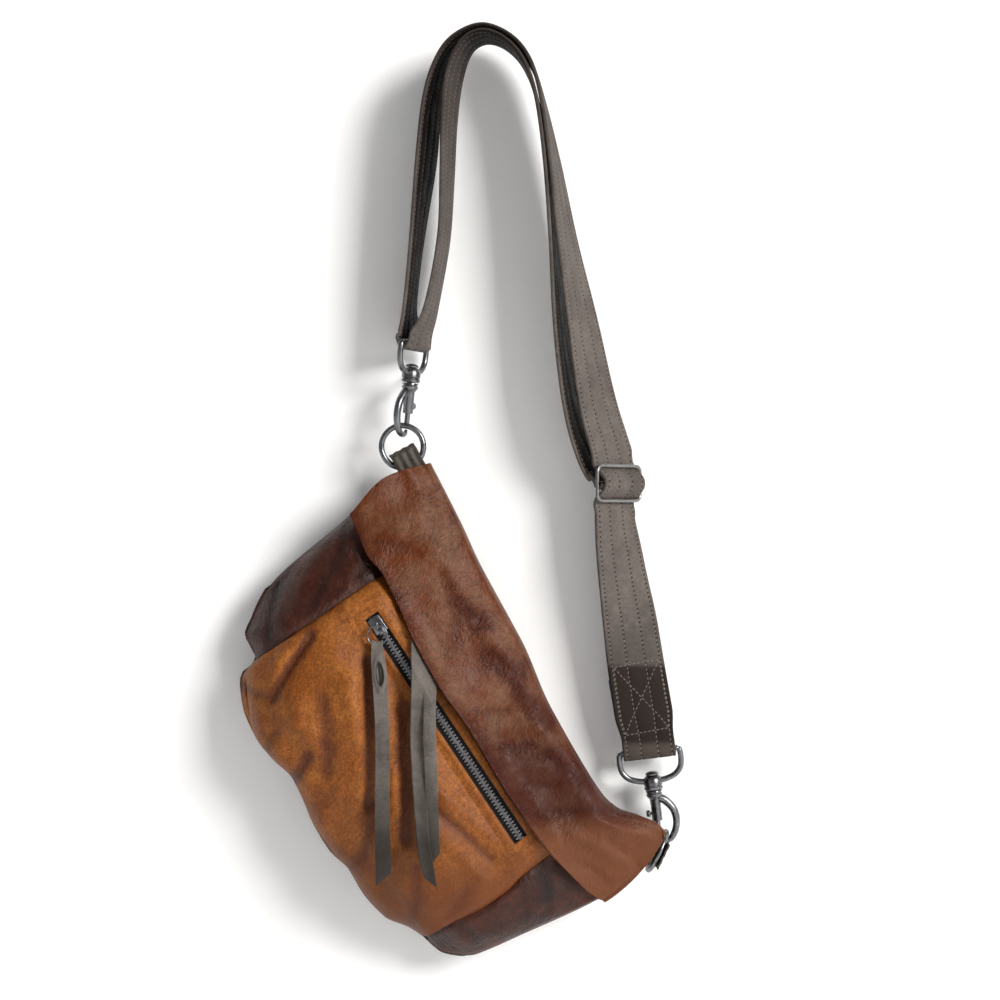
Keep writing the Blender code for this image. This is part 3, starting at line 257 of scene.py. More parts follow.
# Outlines: the two ends as u at v, the rest as v at u
left_edge = smooth_curve(((0, 0), (28, -5), (60, 5.3), (118, 18.2), (130, 23), (147, 34.8), (156.5, 44),
                          (181, 100)))
right_edge = smooth_curve(((0, 286), (14, 293), (36, 296), (91, 293), (121, 290.5), (130, 286.5),
                           (141, 276.8), (146, 264.3), (162, 242), (174, 169), (181, 100)))
bottom_edge = smooth_curve(((-5, 30), (5, 60), (18, 118), (23, 130), (35, 147), (44, 156.3), (53, 155.6),
                            (58.5, 158), (63.6, 169.4), (72, 174.8), (87.4, 179.7), (102.8, 180.5),
                            (118, 178), (138, 172), (151, 172.5), (169, 174), (189.5, 172.3), (205.5, 167.5),
                            (219, 167), (241.7, 161.6), (255.8, 150.5), (264.3, 146), (276.8, 141),
                            (286.5, 130), (290.7, 121.5), (293, 91), (296, 36)))
fold_line = smooth_curve(((-5, 0), (42, 0.8), (75, 2.5), (127, 2.0), (173, 5.5), (215, 4.4), (238, 2.3),
                          (251, -1.6)))
flap_edge = smooth_curve(((-5, 59), (5.6, 59.7), (28, 61.5), (46, 58.1), (67, 58.5), (95, 59.8), (125, 59.2),
                          (159, 55.2), (197, 53.4), (220, 51), (255, 46)))
left_seam = smooth_curve(((20, 48), (65, 49.5), (107, 54), (157, 58.7), (181, 60)))
right_seam = smooth_curve(((20, 250), (47, 252.8), (70, 256.4), (83, 260.2), (105, 262.7), (125, 262.2),
                           (146, 263.8), (181, 265)))
swell_down = smooth_curve(((0, 0), (0.03, 0.2), (0.1, 0.33), (0.22, 0.46), (0.43, 0.83), (0.65, 1.0),
                           (0.82, 0.9), (0.93, 0.62), (0.98, 0.33), (1, 0)))
ear_top_u = smooth_curve(((0, 245.0), (0.2, 252), (0.45, 261), (0.7, 270), (0.86, 277), (1, 280.5)))
ear_top_v = smooth_curve(((0, 0.4), (0.2, -3), (0.45, -12.5), (0.7, -19.6), (0.86, -21.5), (1, -19.4)))
ear_foot_u = smooth_curve(((0, 245.0), (0.35, 262), (0.7, 285), (1, 298.5)))
ear_foot_v = smooth_curve(((0, 47.6), (0.35, 44.5), (0.7, 39), (1, 33)))


def smooth_step(low, high, x):
    t = np.clip((x - low) / (high - low), 0, 1)
    return t * t * (3 - 2 * t)


def lerp(a, b, t):
    return a + (b - a) * t


def even_path(points, count, steps=10):
    """count evenly spaced points on a smooth curve; columns after the third are carried along."""
    p = np.array(points, float)
    before, after = np.vstack((p[:1], p[:-2])), np.vstack((p[2:], p[-1:]))
    t = (np.arange(steps) / steps)[None, :, None]
    a, b, c, d = (part[:, None, :] for part in (before, p[:-1], p[1:], after))
    fine = 2 * b + (c - a) * t + (2 * a - 5 * b + 4 * c - d) * t ** 2 + (3 * b - a - 3 * c + d) * t ** 3
    fine = np.vstack((0.5 * fine.reshape(-1, p.shape[1]), p[-1:]))
    way = np.concatenate(([0], np.cumsum(np.linalg.norm(np.diff(fine[:, :3], axis=0), axis=1))))
    goal = np.linspace(0, way[-1], count)
    return np.column_stack([np.interp(goal, way, column) for column in fine.T])


def ripple(a, b, size, seed):
    """Smooth noise from -1 to 1 over two coordinates, with features of one size."""
    flat = zip(np.ravel(a) / size, np.ravel(b) / size)
    return np.array([noise.noise((x, y, seed)) for x, y in flat]).reshape(np.shape(a))


def folds(u, v, lines):
    """Height of pressed folds at points of the bag's plane."""
    total = np.zeros(np.shape(u))
    for points, wide, high in lines:
        nearest = np.full(np.shape(u), np.inf)
        for (u0, v0), (u1, v1) in zip(points, points[1:]):
            du, dv = u1 - u0, v1 - v0
            t = np.clip(((u - u0) * du + (v - v0) * dv) / (du * du + dv * dv), 0, 1)
            nearest = np.minimum(nearest, np.hypot(u - u0 - t * du, v - v0 - t * dv))
        total += high * np.exp(-(nearest / wide) ** 2)
    return total * sizes().fold_height


# The bag's surface

def bag_points(u, v, y):
    u, v, y = np.broadcast_arrays(u, v, y)
    return BAG_ORIGIN + u[..., None] * U_AXIS + v[..., None] * V_AXIS + y[..., None] * Y_AXIS


def shares(u, v):
    """How far across and how far down a point lies between the bag's edges."""
    left, right = left_edge(v), right_edge(v)
    return np.clip((u - left) / (right - left), 0, 1), np.clip(v / bottom_edge(u), 0, 1)


def bulge(share):
    return (1 - np.abs(2 * share - 1) ** 2.6) ** 0.6


def zip_v(line, u):
    return line["v"] + line["slope"] * (u - line["start"])


def settle(y, line, u, v):
    """Draws the surface flat near a zip."""
    away = np.abs(v - zip_v(line, u))
    beyond = np.maximum(np.maximum(line["start"] - u, u - line["end"]), 0)
    share = (1 - smooth_step(line["flat"], line["fade"], away)) * (1 - smooth_step(4, 22, beyond))
    return lerp(y, line["y"], share)


def plump_y(u, v):
    across, down = shares(u, v)
    return SEAM_Y - SKIRT - BELLY * bulge(across) * swell_down(down)


def front_y(u, v):
    return settle(settle(plump_y(u, v), MAIN_ZIP, u, v), POCKET_ZIP, u, v)


def back_y(u, v):
    across, down = shares(u, v)
    return BACK_SEAM_Y + SKIRT + BACK_SWELL * np.minimum(1, bulge(across) * bulge(down) / BACK_FLAT_SHARE)


def mouth_half(u):
    """Half the gap between the main zip's rows of teeth, which stand open right of the slider."""
    return MOUTH_HALF * smooth_step(84, 134, u) * (1 - smooth_step(180, MAIN_ZIP["end"] - 6, u))


def closed_half(u):
    return np.zeros(np.shape(u))


def slot_half(u):
    """Half the slot that the leather leaves for the main zip."""
    ends = smooth_step(MAIN_ZIP["start"] - 18, MAIN_ZIP["start"] - 6, u)
    ends = ends * (1 - smooth_step(MAIN_ZIP["end"] + 6, MAIN_ZIP["end"] + 18, u))
    return 0.8 + (WINDOW_HALF - 0.8 + mouth_half(u)) * ends


# Making pieces


def points_of(mesh):
    """The mesh's points as rows of an array."""
    flat = np.empty(len(mesh.vertices) * 3)
    mesh.vertices.foreach_get("co", flat)
    return flat.reshape(-1, 3)


def add_primitive(add, **settings):
    bpy.ops.object.select_all(action="DESELECT")
    add(**settings)
    return bpy.context.object


def link_new(name, data):
    obj = bpy.data.objects.new(name, data)
    bpy.context.scene.collection.objects.link(obj)
    return obj


def activate(obj):
    bpy.ops.object.select_all(action="DESELECT")
    obj.select_set(True)
    bpy.context.view_layer.objects.active = obj


def apply_modifier(obj, kind, **settings):
    activate(obj)
    modifier = obj.modifiers.new(kind.lower(), kind)
    for key, value in settings.items():
        setattr(modifier, key, value)
    bpy.ops.object.modifier_apply(modifier=modifier.name)


def finish_piece(obj, name, material, body, *nodes):
    """Names a made object, gives it its material and lets it stand for CAD nodes on a body."""
    obj.name = name
    obj.data.name = name
    obj.data.materials.clear()
    obj.data.materials.append(bpy.data.materials[material])
    if body:
        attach(obj, body)
    if nodes:
        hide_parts(*nodes)
    return obj


def grid_piece(columns, rows, place, thickness, facing, keep=None, rounding=0.3):
    """A sheet placed by place(s, t), thickened behind its face and rounded along its cut edges."""
    obj = add_primitive(bpy.ops.mesh.primitive_grid_add, x_subdivisions=columns, y_subdivisions=rows, size=2)
    mesh = obj.data
    s, t = np.clip((points_of(mesh)[:, :2].T + 1) / 2, 0, 1)
    mesh.vertices.foreach_set("co", (place(s, t) * MM).ravel())
    work = bmesh.new()
    work.from_mesh(mesh)
    if keep:
        work.verts.ensure_lookup_table()
        corners = np.array([[vert.index for vert in face.verts] for face in work.faces])
        wanted = keep(s[corners].mean(axis=1), t[corners].mean(axis=1))
        bmesh.ops.delete(work, geom=[f for f, good in zip(list(work.faces), wanted) if not good],
                         context="FACES")
    work.normal_update()
    facing = Vector(facing)
    if sum(face.normal.dot(facing) for face in work.faces) < 0:
        bmesh.ops.reverse_faces(work, faces=work.faces)
    work.to_mesh(mesh)
    work.free()
    mesh.shade_smooth()
    apply_modifier(obj, "SOLIDIFY", thickness=thickness * MM, offset=-1, use_quality_normals=True)
    if rounding:
        apply_modifier(obj, "BEVEL", width=thickness * rounding * MM, segments=2, limit_method="ANGLE",
                       angle_limit=math.radians(55))
    return obj


def mark_painted_shade_and_hem(obj, lines, hem=None):
    """Stores, for painted shade, how deep each point lies in the fold valleys, and how near a hem, where the
    leather is darker.
    """
    place = points_of(obj.data) / MM - BAG_ORIGIN
    u, v = place @ U_AXIS, place @ V_AXIS
    depth = np.clip(-folds(u, v, lines) / 1.8, 0, 1)
    if hem:
        depth = np.maximum(depth, 0.8 * np.exp(-((hem(u) - v) / 4.5) ** 2) * (u < FLAP_END_U))
    obj.data.attributes.new("painted_shade_and_hem", "FLOAT", "POINT").data.foreach_set("value", depth)


def table_place(table):
    """A place function that looks its points up in an array of columns and rows."""
    columns, rows = table.shape[0] - 1, table.shape[1] - 1

    def place(s, t):
        return table[np.rint(s * columns).astype(int), np.rint(t * rows).astype(int)]

    return place


def wire(points, radius, closed=False, radii=None, sides=5):
    """A round wire through points, with filled ends and, if radii are given, a taper."""
    curve = bpy.data.curves.new("wire", "CURVE")
    curve.dimensions = "3D"
    curve.bevel_depth = radius * MM
    curve.bevel_resolution = sides
    curve.use_fill_caps = True
    spline = curve.splines.new("POLY")
    spline.points.add(len(points) - 1)
    spline.use_cyclic_u = closed
    for k, (point, spot) in enumerate(zip(spline.points, points)):
        point.co = (*(Vector(spot[:3]) * MM), 1.0)
        point.radius = radii[k] if radii is not None else 1.0
    obj = link_new("wire", curve)
    activate(obj)
    bpy.ops.object.convert(target="MESH")
    obj.data.shade_smooth()
    return obj


def lathe(profile, steps=40):
    """A turned solid on the local Z axis from a profile of (radius, height) points, bottom to top."""
    mesh = bpy.data.meshes.new("lathe")
    points = [(radius * MM, 0.0, height * MM) for radius, height in profile]
    mesh.from_pydata(points, [(k, k + 1) for k in range(len(points) - 1)], [])
    obj = link_new("lathe", mesh)
    apply_modifier(obj, "SCREW", steps=steps, render_steps=steps, use_merge_vertices=True,
                   merge_threshold=0.00001, use_normal_calculate=True)
    activate(obj)
    bpy.ops.object.shade_smooth_by_angle(angle=math.radians(40))
    return obj


def block(low, high, edge=0.3, segments=2):
    """A box between two corners with rounded edges."""
    low, high = Vector(low) * MM, Vector(high) * MM
    obj = add_primitive(bpy.ops.mesh.primitive_cube_add, size=1)
    obj.data.transform(Matrix.Translation((low + high) / 2) @ Matrix.Diagonal((*(high - low), 1.0)))
    if edge:
        apply_modifier(obj, "BEVEL", width=edge * MM, segments=segments)
    obj.data.shade_smooth()
    return obj


def join(parts):
    activate(parts[0])
    for part in parts[1:]:
        part.select_set(True)
    bpy.ops.object.join()
    return parts[0]


def cut(obj, tool):
    apply_modifier(obj, "BOOLEAN", operation="DIFFERENCE", object=tool, solver="EXACT")
    bpy.data.objects.remove(tool)
    return obj


def repeat(template, matrices):
    """One mesh object with a copy of the template at each matrix; the template goes."""
    count = len(template.data.vertices)
    corners = np.column_stack((points_of(template.data), np.ones(count)))
    faces = [tuple(face.vertices) for face in template.data.polygons]
    spots = np.vstack([corners @ np.array(matrix.transposed()) for matrix in matrices])[:, :3]
    every = [tuple(k * count + i for i in face) for k in range(len(matrices)) for face in faces]
    mesh = bpy.data.meshes.new("repeat")
    mesh.from_pydata(spots.tolist(), [], every)
    mesh.shade_smooth()
    obj = link_new("repeat", mesh)
    bpy.data.objects.remove(template)
    return obj


def frame_of(origin, x, y, z):
    made = Matrix((Vector(x), Vector(y), Vector(z))).transposed().to_4x4()
    made.translation = Vector(origin) * MM
    return made


def spindle(length, wide, high):
    """A short thread lying along X: six sides, pointed ends."""
    obj = add_primitive(bpy.ops.mesh.primitive_uv_sphere_add, segments=6, ring_count=4, radius=0.5)
    obj.data.transform(Matrix.Rotation(math.pi / 2, 4, "Y"))
    obj.data.transform(Matrix.Diagonal((length * MM, wide * MM, high * MM, 1.0)))
    return obj


# Materials

def rgba(code):
    """Linear colour from an sRGB hex value."""
    parts = [int(code[k:k + 2], 16) / 255 for k in (1, 3, 5)]
    return (*[c / 12.92 if c <= 0.04045 else ((c + 0.055) / 1.055) ** 2.4 for c in parts], 1.0)


def set_inputs(tree, node, inputs):
    """Gives inputs of a node their values, or links the sockets given for them."""
    for key, value in inputs.items():
        if isinstance(value, bpy.types.NodeSocket):
            tree.links.new(value, node.inputs[key])
        else:
            node.inputs[key].default_value = value


def add_node(tree, kind, settings=None, inputs=None):
    made = tree.nodes.new("ShaderNode" + kind)
    for key, value in (settings or {}).items():
        setattr(made, key, value)
    set_inputs(tree, made, inputs or {})
    return made


def noise_node(tree, place, size, detail, **more):
    """Cloudy noise with features of one size in millimetres."""
    return add_node(tree, "TexNoise", inputs={"Vector": place, "Scale": 1 / size, "Detail": detail, **more})


def band_node(tree, place, direction, scale, **more):
    """Parallel ribs across a direction."""
    made = add_node(tree, "TexWave", {"wave_type": "BANDS", "bands_direction": direction},
                    {"Vector": place, "Scale": scale, **more})
    return made.outputs["Fac"]


def math_node(tree, operation, *values, clamp=False):
    made = add_node(tree, "Math", {"operation": operation, "use_clamp": clamp}, dict(enumerate(values)))
    return made.outputs["Value"]


def range_node(tree, value, low, high, start, end, kind="LINEAR"):
    """Takes a value that goes from low to high to one that goes from start to end."""
    made = add_node(tree, "MapRange", {"interpolation_type": kind},
                    {"Value": value, "From Min": low, "From Max": high, "To Min": start, "To Max": end})
    return made.outputs["Result"]


def mix_node(tree, share, tone, other):
    """Mixes a colour with another one, given as a hex value."""
    return add_node(tree, "Mix", {"data_type": "RGBA"}, {0: share, 6: tone, 7: rgba(other)}).outputs[2]


def bump_node(tree, height, strength, distance, **more):
    inputs = {"Strength": strength, "Distance": distance, "Height": height, **more}
    return add_node(tree, "Bump", inputs=inputs).outputs["Normal"]


def new_material(name):
    """An empty material with a shader; returns its tree, the shader and object coordinates in millimetres."""
    material = bpy.data.materials.new(name)
    material.use_nodes = True
    tree = material.node_tree
    place = add_node(tree, "TexCoord").outputs["Object"]
    scaled = add_node(tree, "Mapping", inputs={"Vector": place, "Scale": (1000, 1000, 1000)})
    return tree, tree.nodes["Principled BSDF"], scaled.outputs["Vector"]


def leather(name, body, dark, worn, look):
    """Leather: cloudy dye, painted shade in the fold valleys, rubbed lighter patches (on the flap also a
    painted sheen), pebbled grain, fine wrinkles and creases.
    """
    tree, shader, mm = new_material(name)
    painted_shade_and_hem = add_node(tree, "Attribute", {"attribute_name": "painted_shade_and_hem"}).outputs["Fac"]
    cloud = noise_node(tree, mm, look["patch"], 3.0, Roughness=0.55, Distortion=0.5).outputs["Fac"]
    shifted = add_node(tree, "Mapping", inputs={"Vector": mm, "Location": (311, 57, 140)}).outputs["Vector"]
    rub = noise_node(tree, shifted, look["rub"], 6.0, Roughness=0.65).outputs["Fac"]
    fleck = noise_node(tree, mm, look["fleck"], 4.0, Roughness=0.7)
    cloud_share = range_node(tree, cloud, 0.46, 0.66, 0.0, look["dark"])
    # Painted shade: the colour goes dark in the fold valleys and in the strip's slit; it is also darker along
    # the flap's hem.
    dark_share = math_node(tree, "ADD", cloud_share, painted_shade_and_hem, clamp=True)
    wear_and_sheen_share = range_node(tree, rub, 0.42, 0.66, 0.0, look["worn"])
    proud = math_node(tree, "SUBTRACT", 1.0, painted_shade_and_hem, clamp=True)
    tone = mix_node(tree, dark_share, rgba(body), dark)
    # On the flap this lighter colour is a painted sheen as well as rubbing; elsewhere it is rubbing.
    tone = mix_node(tree, math_node(tree, "MULTIPLY", wear_and_sheen_share, proud), tone, worn)
    swirl = noise_node(tree, mm, 16, 2.0).outputs["Color"]
    bent = add_node(tree, "VectorMath", {"operation": "MULTIPLY_ADD"},
                    {0: swirl, 1: (look["bend"],) * 3, 2: mm}).outputs["Vector"]
    across, along, angle = look["wrinkle"]
    laid = add_node(tree, "Mapping", {"vector_type": "TEXTURE"},
                    {"Vector": bent, "Rotation": (0, math.radians(angle), 0),
                     "Scale": (across, along, along)})
    wrinkle = noise_node(tree, laid.outputs["Vector"], 1.0, 2.0, Roughness=0.45).outputs["Fac"]
    ridges = math_node(tree, "MULTIPLY", wrinkle, range_node(tree, dark_share, 0.0, 1.0, 0.35, 1.0))
    wander = add_node(tree, "Mix", {"data_type": "VECTOR"}, {0: 0.12, 4: mm, 5: fleck.outputs["Color"]})
    fleck = fleck.outputs["Fac"]
    pebble, crack = (add_node(tree, "TexVoronoi", {"feature": "DISTANCE_TO_EDGE"},
                              {"Vector": place, "Scale": 1 / look[key]}).outputs["Distance"]
                     for place, key in ((mm, "grain"), (wander.outputs[1], "crack")))
    crack_line = range_node(tree, crack, 0.0, 0.09, look["line"], 1.0)
    shades = [range_node(tree, value, 0.3, 0.7, 1 - look[key], 1 + look[key])
              for value, key in ((fleck, "mottle"), (wrinkle, "wrinkle_tone"))]
    for share in (*shades, crack_line):
        scaled = add_node(tree, "VectorMath", {"operation": "SCALE"}, {0: tone, "Scale": share})
        tone = scaled.outputs["Vector"]
    normal = {}
    for height, key, deep in ((pebble, "grain_bump", 0.0004), (fleck, "fuzz_bump", 0.0006),
                              (ridges, "wrinkle_bump", 0.0016), (crack_line, "crack_bump", 0.0004)):
        normal = {"Normal": bump_node(tree, height, look[key], deep, **normal)}
    gloss = range_node(tree, rub, 0.3, 0.7, look["rough"] - 0.1, look["rough"] + 0.1)
    set_inputs(tree, shader, {"Base Color": tone, "Roughness": gloss, "Specular IOR Level": look["shine"],
                              "Coat Weight": look["coat"], "Coat Roughness": 0.35, **normal})
    return tree, shader, mm, tone


def recolour(made, share, other):
    """Mixes another colour into a leather."""
    tree, shader, mm, tone = made
    tone = mix_node(tree, share, tone, other)
    tree.links.new(tone, shader.inputs["Base Color"])
    return tree, shader, mm, tone


def shade_down(made, other, start, end, most=0.85):
    """Turns a leather towards another colour between two heights, in millimetres on the Z axis."""
    tree, _, mm, _ = made
    height = add_node(tree, "SeparateXYZ", inputs={"Vector": mm}).outputs["Z"]
    waver = noise_node(tree, mm, 25, 3.0).outputs["Fac"]
    raised = math_node(tree, "MULTIPLY_ADD", waver, (start - end) * 0.5, height)
    return recolour(made, range_node(tree, raised, start, end, 0.0, most, "SMOOTHSTEP"), other)


def paint_inside_and_underside_shade(made, dark):
    """Turns a leather to another colour on the strap's inner face, and as painted shade on the downward faces
    of its upper part.
    """
    inside = add_node(made[0], "Attribute", {"attribute_name": "inner_face_and_underside_shade"})
    return recolour(made, inside.outputs["Fac"], dark)


def punch_holes(made, dark):
    """Awl holes between the stitches, painted dark as their shade; the strap stores its distances along and
    across in strap_place.
    """
    tree = made[0]
    place = add_node(tree, "Attribute", {"attribute_name": "strap_place"})
    parts = add_node(tree, "SeparateXYZ", inputs={"Vector": place.outputs["Vector"]})
    along = math_node(tree, "PINGPONG", parts.outputs["X"], sizes().stitch_pitch / MM / 2)
    side = math_node(tree, "ABSOLUTE", parts.outputs["Y"])
    away = [math_node(tree, "ABSOLUTE", math_node(tree, "SUBTRACT", side, row)) for row in STITCH_ROWS[2:]]
    offset = add_node(tree, "CombineXYZ", inputs={"X": along, "Y": math_node(tree, "MINIMUM", *away)})
    far = add_node(tree, "VectorMath", {"operation": "LENGTH"}, {0: offset.outputs["Vector"]})
    recolour(made, range_node(tree, far.outputs["Value"], 0.45, 0.85, 0.92, 0.0), dark)


CHESTNUT_LOOK = {"mottle": 0.25, "patch": 34, "rub": 24, "fleck": 3.2, "grain": 1.3, "crack": 4.2,
                 "dark": 0.9, "worn": 0.7, "line": 0.8, "wrinkle": (1.4, 4.5, 28), "bend": 16,
                 "wrinkle_tone": 0.1, "wrinkle_bump": 0.8, "rough": 0.42, "grain_bump": 0.4, "fuzz_bump": 0.3,
                 "crack_bump": 0.45, "coat": 0.0, "shine": 0.17}
DARK_LOOK = {"mottle": 0.3, "patch": 26, "rub": 14, "fleck": 2.4, "grain": 1.1, "crack": 4.2, "dark": 0.8,
             "worn": 0.45, "line": 0.72, "wrinkle": (1.7, 5.0, -30), "bend": 20, "wrinkle_tone": 0.25,
             "wrinkle_bump": 0.8, "rough": 0.45, "grain_bump": 0.5, "fuzz_bump": 0.3, "crack_bump": 0.55,
             "coat": 0.05, "shine": 0.3}
TAN_LOOK = {"mottle": 0.42, "patch": 44, "rub": 18, "fleck": 1.5, "grain": 0.9, "crack": 6.0, "dark": 0.4,
            "worn": 0.6, "line": 0.96, "wrinkle": (1.3, 4.0, 20), "bend": 14, "wrinkle_tone": 0.2,
            "wrinkle_bump": 0.4, "rough": 0.5, "grain_bump": 0.3, "fuzz_bump": 0.6, "crack_bump": 0.15,
            "coat": 0.0, "shine": 0.27}
TAUPE_LOOK = {"mottle": 0.14, "patch": 30, "rub": 9, "fleck": 1.6, "grain": 0.7, "crack": 3.0, "dark": 0.3,
              "worn": 0.4, "line": 0.94, "wrinkle": (9.0, 2.2, 0), "bend": 8, "wrinkle_tone": 0.07,
              "wrinkle_bump": 0.2, "rough": 0.62, "grain_bump": 0.25, "fuzz_bump": 0.25, "crack_bump": 0.15,
              "coat": 0.0, "shine": 0.12}
STRIP_LOOK = {"mottle": 0.16, "patch": 30, "rub": 7, "fleck": 1.3, "grain": 0.5, "crack": 3.0, "dark": 0.5,
              "worn": 0.5, "line": 0.92, "wrinkle": (6.0, 1.8, 0), "bend": 6, "wrinkle_tone": 0.08,
              "wrinkle_bump": 0.2, "rough": 0.52, "grain_bump": 0.3, "fuzz_bump": 0.3, "crack_bump": 0.15,
              "coat": 0.0, "shine": 0.27}


def make_leathers():
    tint = colours()
    # Oiled chestnut leather: rubbed, with a painted grey sheen, over the bulges; red-brown and wrinkled, with
    # painted shade, where it is pressed in
    flap = leather("oiled_chestnut_leather", tint.chestnut, tint.chestnut_dark_and_shade, tint.chestnut_sheen_and_wear,
                   CHESTNUT_LOOK)
    shade_down(shade_down(flap, "#360f05", -418, -452, 0.75), "#7d4d31", -482, -500, 0.5)
    # Dark brown leather with a net of fine creases
    leather("creased_dark_leather", tint.dark, tint.dark_deep_and_shade, tint.dark_worn, DARK_LOOK)
    # Brushed tan leather, orange at the zip and browner towards the bottom
    shade_down(leather("brushed_tan_leather", tint.tan, tint.tan_dark_and_shade, tint.tan_worn, TAN_LOOK),
               tint.tan_dark_and_shade, -430, -540)
    # Taupe strap leather, oiled nearly black at its sewn end, with painted shade on its upper part and that
    # part's undersides, a painted highlight at the fold round the lower eye, and black on its inner face
    strap = leather("taupe_strap_leather", tint.taupe, tint.taupe_dark_and_shade, tint.taupe_worn, TAUPE_LOOK)
    # Darker towards the oiled sewn end, then painted shade that deepens up the strap from -260 to -20 mm
    strap = shade_down(shade_down(strap, tint.taupe_dark_and_shade, -340, -402, 0.5), tint.taupe_dark_and_shade, -260, -20, 0.75)
    # Sharp edge of the oiled end, then a painted highlight on the fold round the lower eye
    strap = shade_down(shade_down(strap, "#1a100c", -396, -400, 0.85), "#564d47", -445, -450, 0.6)
    punch_holes(paint_inside_and_underside_shade(strap, tint.strap_inside_and_shade), "#0b0807")
    # Grey strip leather, darker towards its tips
    shade_down(leather("strip_leather", tint.strip, tint.taupe_dark_and_shade, tint.taupe_worn, STRIP_LOOK), "#1d1711",
               -410, -500)
    # Dark taupe leather of the two ring tabs
    leather("tab_leather", "#453f39", "#2a2420", "#615b53", STRIP_LOOK)


def make_cloths():
    tint = colours()
    # Woven polyester zip tape: fine wavering ribs, black with a dull shine
    tree, shader, mm = new_material("zip_tape_weave")
    turned = add_node(tree, "Mapping", inputs={"Vector": mm, "Rotation": (0, BAG_TILT, 0)})
    ribs = band_node(tree, turned.outputs["Vector"], "X", 0.45, Distortion=1.2, Detail=2.0)
    set_inputs(tree, shader, {"Base Color": mix_node(tree, ribs, rgba("#060708"), tint.tape),
                              "Normal": bump_node(tree, ribs, 0.6, 0.0002), "Roughness": 0.8})
    # Cotton lining: plain weave of warp and weft with slubs
    tree, shader, mm = new_material("lining_cotton")
    weave = math_node(tree, "MULTIPLY", band_node(tree, mm, "X", 0.5), band_node(tree, mm, "Z", 0.5))
    share = math_node(tree, "MULTIPLY_ADD", weave, 0.5, noise_node(tree, mm, 4, 3.0).outputs["Fac"])
    set_inputs(tree, shader, {"Base Color": mix_node(tree, share, rgba("#6d5b43"), tint.lining),
                              "Normal": bump_node(tree, weave, 0.5, 0.0002), "Roughness": 0.95})
    # Waxed linen thread: pale, with twisted strands
    tree, shader, mm = new_material("linen_thread")
    twist = band_node(tree, mm, "DIAGONAL", 0.7, Distortion=1.0)
    share = math_node(tree, "MULTIPLY", twist, noise_node(tree, mm, 14, 3.0).outputs["Fac"])
    set_inputs(tree, shader, {"Base Color": mix_node(tree, share, rgba("#5d554e"), tint.thread),
                              "Roughness": 0.7})


def metal(name, colour, rough, spread, scratch, size):
    """Plated metal: handled smudges in its gloss and fine scratches."""
    tree, shader, mm = new_material(name)
    smudge = noise_node(tree, mm, size, 5.0, Roughness=0.6).outputs["Fac"]
    stretched = add_node(tree, "Mapping", inputs={"Vector": mm, "Scale": (0.25, 1.0, 3.0)})
    fine = add_node(tree, "TexNoise",
                    inputs={"Vector": stretched.outputs["Vector"], "Scale": 1.2, "Detail": 6.0})
    shade = range_node(tree, smudge, 0.3, 0.75, 0.75, 1.05)
    tone = add_node(tree, "VectorMath", {"operation": "SCALE"}, {0: rgba(colour)[:3], "Scale": shade})
    set_inputs(tree, shader, {"Base Color": tone.outputs["Vector"], "Metallic": 1.0,
                              "Roughness": range_node(tree, smudge, 0.3, 0.7, rough, rough + spread),
                              "Normal": bump_node(tree, fine.outputs["Fac"], scratch, 0.00005)})


def make_metals():
    tint = colours()
    # Polished nickel of rings, snaps and sliders: grey with bright lights and faint smudges
    metal("polished_nickel_plate", tint.nickel, 0.22, 0.14, 0.15, 5.0)
    # Brushed nickel of the buckle: duller, with deeper scratches
    metal("brushed_nickel", "#8d8c8b", 0.26, 0.14, 0.5, 8.0)
    # Gunmetal zip teeth: light grey, finely smudged
    metal("gunmetal_plate", tint.gunmetal, 0.22, 0.16, 0.2, 3.0)
    # Spring wire inside the snaps: plain drawn steel
    metal("spring_wire", "#8f8f90", 0.3, 0.1, 0.2, 2.0)


# Bag panels

POUCH_COLUMNS = 150
POUCH_ROWS = 120
WINDOW_COLUMNS = (14, 136)
WINDOW_SHARES = (0.0845, 0.903)
WINDOW_ROWS = (26, 30)
FOOT_ROW = 116
SEAM_DIP = 2.2
ROLL = 5.0


def pouch_v(u, t):
    """Rows of the pouch: down to the zip, across its window, and on to the bottom seam."""
    high, low = zip_v(POCKET_ZIP, u) - WINDOW_HALF, zip_v(POCKET_ZIP, u) + WINDOW_HALF
    row = t * POUCH_ROWS
    first = lerp(zip_v(MAIN_ZIP, u) + slot_half(u), high, row / WINDOW_ROWS[0])
    window = lerp(high, low, (row - WINDOW_ROWS[0]) / (WINDOW_ROWS[1] - WINDOW_ROWS[0]))
    share = np.clip((row - WINDOW_ROWS[1]) / (FOOT_ROW - WINDOW_ROWS[1]), 0, 1)
    below = lerp(low, bottom_edge(u), (1 - np.cos(share * math.pi)) / 2)
    return np.where(row <= WINDOW_ROWS[0], first, np.where(row <= WINDOW_ROWS[1], window, below))


def window_distance(u, v):
    """How far a point of the pouch lies from the pocket zip's window."""
    over = np.maximum(np.abs(v - zip_v(POCKET_ZIP, u)) - WINDOW_HALF, 0)
    beside = np.maximum(np.maximum(POCKET_ZIP["start"] - u, u - POCKET_ZIP["end"]), 0)
    return np.hypot(over, beside)


